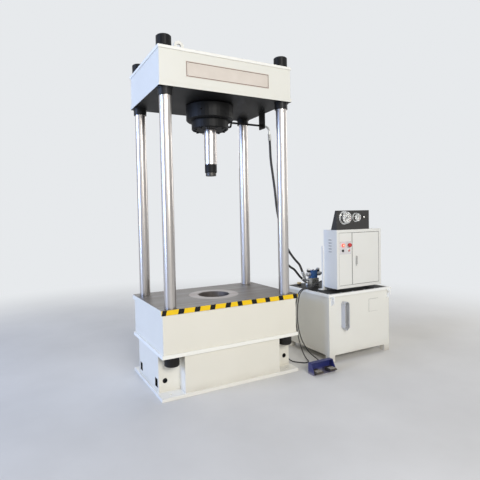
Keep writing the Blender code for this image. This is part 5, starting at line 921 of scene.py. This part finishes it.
motor_grey = enamel("motor grey", (0.075, 0.080, 0.085), (0.055, 0.057, 0.060), 0.01, 0.42, 0.6, 0.1)[0]
dress(motor_grey, "motor_frame")
dress(cover_black, "fan_cowl")
dress(enamel("valve blue", (0.030, 0.105, 0.30), (0.025, 0.075, 0.20), 0.01)[0], "valve_body")
shell_colours = (0.80, 0.81, 0.84), (0.66, 0.67, 0.70), (0.5, 0.48, 0.44)
shell, place, skin = steel("solenoid shell and plug", *shell_colours, 0.40, EVEN, 0.2, 0.05)
x, y, z = place.axes()
plug = (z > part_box("left_solenoid")[0][2] + 0.0498) | (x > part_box("right_solenoid")[0][0] + 0.0605)
feed(shell, base_color=plug.mix(skin["Colour"], (0.010, 0.010, 0.011)), metallic=1.0 - plug)
dress(shell, "left_solenoid", "right_solenoid")


def moulded(name, colour, roughness=0.3, glow=(1, 1, 1), strength=0.0):
    """Moulded plastic with a fine grain, lit from behind where it has a strength."""
    look, place = material(name, roughness=roughness, coat_weight=0.2)
    feed(look, emission_color=glow, emission_strength=strength)
    tone = place.noise(60.0).spread(0.3, 0.7, 0.0, 0.35).mix(colour, (0.12, 0.10, 0.09))
    feed(look, base_color=tone, normal=place.noise(210.0, 2.0).bump(0.12, 0.0002))
    return look


# White caps stand on the solenoids, four socket screws hold the valve to its block, and a bare
# aluminium plate lies on the motor's fins
plug_white = moulded("plug white", (0.82, 0.82, 0.80), 0.4)
VALVE_Y, CAP_HALF = 0.075, 0.0145
for name, x in (("left_solenoid", 1.2207), ("right_solenoid", 1.3533)):
    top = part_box(name)[1][2]
    bm = bmesh.new()
    slab(bm, (x - CAP_HALF, VALVE_Y - CAP_HALF, top - 0.012), (x + CAP_HALF, VALVE_Y + CAP_HALF, top + 0.006))
    stem = [Vector((x, VALVE_Y, top + rise)) for rise in (0.005, 0.007, 0.0095, 0.010)]
    swept(bm, stem, (0.0045, 0.0045, 0.0040, 0.0028), 12)
    softened = skinned(name + "_plug", bm, plug_white).modifiers.new("edges", "BEVEL")
    softened.width, softened.segments, softened.limit_method = 0.0012, 2, "ANGLE"
low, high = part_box("valve_body")
rows, top = (low[1] + 0.012, high[1] - 0.012), high[2] - 0.0002
spots = [(x, y, top) for x in (low[0] + 0.016, high[0] - 0.016) for y in rows]
screws_at("valve_screws", spots, UP, 0.0055, 0.006, 18, 0.55, screw_black)
label_colours = (0.62, 0.62, 0.60), (0.50, 0.50, 0.48), (0.3, 0.27, 0.22)
motor_plate = steel("motor plate", *label_colours, 0.38, (40.0, 40.0, 300.0), 0.3)[0]
MOTOR_X, MOTOR_Y = 1.62, 0.07
bm = bmesh.new()
sweep, rows = 0.34, 10
for index in range(rows):
    first, second = (radians(250) + sweep * (step / rows - 0.5) for step in (index, index + 1))
    ends = ((first, 0.895), (second, 0.895), (second, 0.950), (first, 0.950))
    plate(bm, *[
        [(MOTOR_X + radius * cos(angle), MOTOR_Y + radius * sin(angle), z) for angle, z in ends]
        for radius in (0.1135, 0.1120)
    ])
skinned("motor_plate", bm, motor_plate)


# Control cabinet
# Folded sheet steel in a smooth light grey enamel, on a stand of the same sheet, with a hinged
# door beside a fixed panel that carries the buttons, and a rack of switchgear inside.

SHEET_ROUNDING = 0.0009
cabinet_colours = (0.775, 0.77, 0.73), (0.735, 0.725, 0.685)
cabinet_enamel = enamel("cabinet enamel", *cabinet_colours, 0.01, 0.32, 0.0, rounding=SHEET_ROUNDING)[0]
dress(cabinet_enamel, "cabinet_body", "cabinet_door", "cabinet_stand")

# Inside, a galvanised plate carries dark switchgear with paler faces
rack_finish, place = material("switchgear rack", roughness=0.42)
x, y, z = place.axes()
low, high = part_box("control_rack")
dark = place.noise(9.0, 2.0).mix((0.030, 0.031, 0.033), (0.085, 0.087, 0.090))
device = ((y < low[1] + 0.002) * 0.6).mix(dark, (0.30, 0.31, 0.32))
sheet = place.noise(40.0, 5.0).mix((0.50, 0.51, 0.51), (0.62, 0.63, 0.62))
feed(rack_finish, base_color=(y > high[1] - 0.006).mix(device, sheet))
dress(rack_finish, "control_rack")

# The start button is lit from behind, brightest in its middle
BUTTONS = {"start": (1.306, 1.178), "stop": (1.386, 1.178), "selector": (1.306, 1.122), "pilot": (1.386, 1.122)}
lit_red = moulded("lit start button", (0.75, 0.10, 0.06), 0.35, strength=1.2)
place = node(lit_red.node_tree, "ShaderNodeTexCoord")["Object"]
ends = {0: place, 1: (BUTTONS["start"][0], -0.3900, BUTTONS["start"][1])}
from_lamp = place.node("ShaderNodeVectorMath", ends, operation="DISTANCE")["Value"]
feed(lit_red, emission_color=from_lamp.spread(0.009, 0.0155).mix((1.0, 0.72, 0.50), (0.60, 0.06, 0.045)))
dress(lit_red, "start_button")
dress(moulded("red plastic", (0.62, 0.025, 0.02)), "stop_button")
dress(moulded("knob black", (0.020, 0.020, 0.020), 0.38), "selector_knob")

# Pressed hoods over the five louvre slots in the cabinet's left side, one above the other
row_tree, given = geometry_tree("row", {"Count": "Int", "Step": "Vector"})
spots = node(row_tree, "GeometryNodeMeshLine", {"Count": given["Count"], "Offset": given["Step"]})[0]
repeated(given, {"Points": spots, "Instance": given["Geometry"]})
CABINET_LEFT, LOUVRE_Y, LOUVRE_Z = 1.2281, -0.302, 1.112
profile = [(0, 0.0085), (0.0019, 0.0080), (0.0035, 0.0066), (0.0044, 0.0045), (0.0047, 0.0020), (0.0047, 0.0005)]
inner = [(0, 0.0072), (0.0013, 0.0068), (0.0025, 0.0057), (0.0033, 0.0041), (0.0035, 0.0020), (0.0035, 0.0005)]
hood, cheek = profile + inner[::-1], profile + [(0, 0.0005)]
bm = bmesh.new()
for outline, near, far in ((hood, -0.002, 0.048), (cheek, -0.002, -0.0008), (cheek, 0.0468, 0.0480)):
    plate(bm, *[[(CABINET_LEFT - x, LOUVRE_Y + y, LOUVRE_Z + z) for x, z in outline] for y in (near, far)])
bmesh.ops.recalc_face_normals(bm, faces=bm.faces)
louvres = {"Count": 5, "Step": (0, 0, 0.031)}
grown("louvre_hoods", bm, row_tree, {**louvres, "Finish": cabinet_enamel})
# Dark strips in each slot under the hoods: painted shade
bm = bmesh.new()
slab(bm, (1.22745, LOUVRE_Y + 0.001, LOUVRE_Z - 0.0062), (CABINET_LEFT, LOUVRE_Y + 0.045, LOUVRE_Z + 0.0004))
grown("louvre_mouths", bm, row_tree, {**louvres, "Finish": shade_strip_grey})

# Dark strips of painted shade in the gaps round the door and round the fixed panel
PANEL_Y = -0.380
gap_shade_depth = (PANEL_Y + 0.0016, PANEL_Y + 0.0021)
boxed("door_seal", shade_strip_grey, strips(1.4405, 1.8285, 0.7585, 1.3065, 0.0036, *gap_shade_depth), body="door")
boxed("panel_seal", shade_strip_grey, strips(1.2580, 1.4388, 0.7570, 1.3080, 0.0034, *gap_shade_depth))


def turned(name, look, centres, levels, body="machine", steps=32, ring=False):
    """Bosses, or rings, that face the front, through (y, radius) levels round each (x, z)."""
    bm = bmesh.new()
    turns = [2 * pi * step / steps for step in range(steps)]
    for number, (x, z) in enumerate(centres):
        rounds = [(y, radius[number] if ring else radius) for y, radius in levels]
        loops = [[bm.verts.new((x + r * cos(t), y, z + r * sin(t))) for t in turns] for y, r in rounds]
        for index in range(0 if ring else 1, len(loops)):
            first, second = loops[index - 1], loops[index]
            for step in range(steps):
                bm.faces.new((first[step], first[step - 1], second[step - 1], second[step]))
        if not ring:
            bm.faces.new(loops[0])
            bm.faces.new(loops[-1][::-1])
    skinned(name, bm, look, body)


# Grey label with white legend rings round the controls, a red lens on the pilot lamp, four screws
# at the label's corners, and the lock in the door
legend = sticker("legend white", (0.78, 0.78, 0.76), (0.70, 0.70, 0.68), 0.35, (0.5, 0.48, 0.45), 0.25)
pilot_lens = moulded("pilot lens", (0.52, 0.20, 0.18), 0.25, (1.0, 0.35, 0.30), 0.12)
label_grey = sticker("label grey", (0.70, 0.68, 0.69), (0.65, 0.63, 0.64), 0.4, (0.4, 0.39, 0.38), 0.2)
label = (1.2700, PANEL_Y - 0.0004, 1.0830), (1.4220, PANEL_Y + 0.0001, 1.2170)
boxed("button_label", label_grey, [label])
bores, rims = (0.0170, 0.0170, 0.0130, 0.0160), (0.0240, 0.0240, 0.0200, 0.0230)
section = ((-0.3812, bores), (-0.3812, rims), (-0.3801, rims), (-0.3801, bores))
turned("legend_rings", legend, BUTTONS.values(), section, ring=True)
dome = ((-0.3898, 0.0135), (-0.3915, 0.0133), (-0.3936, 0.0112), (-0.3948, 0.0070))
turned("pilot_lens", pilot_lens, [BUTTONS["pilot"]], dome)
spots = four(1.2755, 1.4165, 1.0885, 1.2115, PANEL_Y)
front_screws("button_plate_screws", spots, 0.0028, 0.0014, zinc)
cylinder = ((-0.3809, 0.0062), (-0.3840, 0.0062), (-0.3846, 0.0054))
turned("door_lock", zinc, [(1.4945, 0.9620)], cylinder, "door", 24)


# Gauges
# A dark grey folded panel on the cabinet's roof holds two flanged pressure gauges, with white
# dials behind clear glass, and a small white lamp.

panel_colours = (0.052, 0.051, 0.050), (0.060, 0.059, 0.058)
panel_grey = enamel("panel grey", *panel_colours, 0.01, 0.5, 0.4, 0.0, SHEET_ROUNDING)[0]
feed(panel_grey, specular_ior_level=0.2)
dress(panel_grey, "gauge_panel")
bezel_colours = (0.80, 0.80, 0.79), (0.66, 0.66, 0.65), (0.45, 0.42, 0.37)
bezel_chrome = steel("bezel chrome", *bezel_colours, 0.20, (120.0, 20.0, 120.0), 0.1, 0.05)[0]
dress(bezel_chrome, "main_gauge_case", "oil_gauge_case")
dress(moulded("pointer black", (0.012, 0.012, 0.012), 0.45), "main_gauge_pointer", "oil_gauge_pointer")
glass, place = material("clear glass", alpha=0.16, transmission_weight=1.0)
tints = {0: 0.5, 6: (0.93, 0.96, 0.96), 7: (0.97, 0.98, 0.98)}
feed(
    glass, base_color=place.node("ShaderNodeMix", tints, data_type="RGBA")[2],
    roughness=place.noise(35.0, 4.0).spread(0.4, 0.7, 0.02, 0.12),
)
glass.surface_render_method = "BLENDED"
dress(glass, "main_gauge_glass", "oil_gauge_glass")

# Enamelled dials with printed marks and figures, behind the pointers
dial_white = sticker("dial white", (0.66, 0.66, 0.64), (0.60, 0.60, 0.58), 0.35, (0.6, 0.58, 0.54), 0.15)
dial_black = sticker("dial black", (0.020, 0.020, 0.022), (0.030, 0.030, 0.032), 0.5, (0.1, 0.1, 0.1), 0.1)
dial_red = sticker("dial red", (0.55, 0.03, 0.02), (0.50, 0.03, 0.02), 0.5, (0.3, 0.1, 0.1), 0.1)
ring_tree, given = geometry_tree(
    "dial ring", {"Count": "Int", "First": "Float", "Step": "Float", "Centre": "Vector"}
)
spots = node(ring_tree, "GeometryNodeMeshLine", {"Count": given["Count"], "Offset": (0, 0, 0)})[0]
reckoned = {0: spots.node("GeometryNodeInputIndex")[0], 1: given["Step"], 2: given["First"]}
angle = spots.node("ShaderNodeMath", reckoned, operation="MULTIPLY_ADD")[0]
turn = spots.node("ShaderNodeCombineXYZ", {1: angle})[0]
placing = {"Points": spots, "Instance": given["Geometry"], "Rotation": turn}
repeated(given, placing, centre=given["Centre"])


def printed(bm, text, size, centre, y):
    """Adds figures as thin solids that face the front."""
    words = bpy.data.curves.new("words", "FONT")
    words.body, words.size, words.align_x, words.align_y = text, size, "CENTER", "CENTER"
    words.extrude = 0.0001
    carrier = bpy.data.objects.new("words", words)
    scene.collection.objects.link(carrier)
    graph = bpy.context.evaluated_depsgraph_get()
    mesh = bpy.data.meshes.new_from_object(carrier.evaluated_get(graph))
    bpy.data.objects.remove(carrier)
    mesh.transform(Matrix.Translation((centre[0], y, centre[1])) @ Matrix.Rotation(radians(90), 4, "X"))
    bm.from_mesh(mesh)


DIAL_START, DIAL_SWEEP, DIAL_SHARE = radians(-135), radians(270), 0.76
for name, (x, z), plane, radius, minor, figures in (
    ("main", (1.330, 1.464), -0.4163, 0.0530, 5, (0, 5, 10, 15, 20, 25)),
    ("oil", (1.490, 1.465), -0.4063, 0.0362, 4, (0, 4, 8, 12, 16)),
):
    def on_dial(share, angle, y):
        return (x + radius * share * sin(angle), y, z + radius * share * cos(angle))

    faces = ((plane + 0.0004, radius), (plane - 0.0002, radius))
    turned(name + "_dial", dial_white, [(x, z)], faces, steps=48)
    whole = len(figures) - 1
    for kind, half, start, steps in (("long", 0.0006, 0.82, whole), ("short", 0.0003, 0.88, whole * minor)):
        bm = bmesh.new()
        slab(bm, (-half, -0.0005, radius * start), (half, -0.0002, radius * 0.95))
        values = {"Count": steps + 1, "First": DIAL_START, "Step": DIAL_SWEEP / steps, "Centre": (x, plane, z)}
        grown(f"{name}_{kind}_marks", bm, ring_tree, {**values, "Finish": dial_black})
    bm = bmesh.new()
    for index, figure in enumerate(figures):
        spot = on_dial(0.66, DIAL_START + DIAL_SWEEP * index / whole, 0)
        printed(bm, str(figure), radius * 0.22, (spot[0], spot[2]), plane - 0.0004)
    skinned(name + "_figures", bm, dial_black)
    bm = bmesh.new()
    for part in range(10):
        first, second = (radians(81 + 5.4 * number) for number in (part, part + 1))
        ends = ((0.955, first), (0.955, second), (0.985, second), (0.985, first))
        plate(bm, *[[on_dial(*end, plane - proud) for end in ends] for proud in (0.0004, 0.0002)])
    skinned(name + "_red_arc", bm, dial_red)
    flange = [on_dial(0.93 / DIAL_SHARE, angle, -0.3833) for angle in (0, pi * 4 / 3, pi * 2 / 3)]
    front_screws(name + "_gauge_screws", flange, 0.0024, 0.0020, screw_black)
lamp_white = moulded("lit white lens", (0.84, 0.84, 0.80), 0.25, (1.0, 0.96, 0.88), 0.35)
dome = ((-0.3930, 0.0095), (-0.3944, 0.0092), (-0.3962, 0.0070), (-0.3970, 0.0040))
turned("panel_lamp_lens", lamp_white, [(1.600, 1.467)], dome, steps=28)
spots = four(1.238, 1.674, 1.348, 1.528, PANEL_Y + 0.0001)
front_screws("gauge_panel_screws", spots, 0.0034, 0.0020, screw_black)


# Foot switch
# Folded sheet in deep blue enamel, open at the front, over two black pedals with ribbed pads.

switch_colours = (0.018, 0.024, 0.155), (0.022, 0.028, 0.115)
dress(enamel("foot switch blue", *switch_colours, 0.05, 0.38, 0.7, 0.15, 0.0012)[0], "foot_guard")
dress(black("pedal black", 0.5, wear=0.8), "left_pedal", "right_pedal")

# Ribbed treads, scuffed grey-beige, glued on the pads of both pedals
tread_grey = sticker("tread grey", (0.44, 0.40, 0.33), (0.33, 0.30, 0.25), 0.6, (0.56, 0.52, 0.45), 0.5)
for name, foot in (("left_pedal", "left_foot"), ("right_pedal", "right_foot")):
    low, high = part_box(name)
    left, front, top = low[0] + 0.0135, low[1] + 0.0072, high[2]
    pad = (left, front, top - 0.0004), (left + 0.0630, front + 0.0515, top + 0.0012)
    boxed(name + "_tread", tread_grey, [pad], foot)
    bm = bmesh.new()
    slab(bm, (left + 0.0012, front + 0.0012, top + 0.0008), (left + 0.0034, front + 0.0503, top + 0.0030))
    ribs = {"Count": 14, "Step": (0.00445, 0, 0), "Finish": tread_grey}
    grown(name + "_ribs", bm, row_tree, ribs, foot)
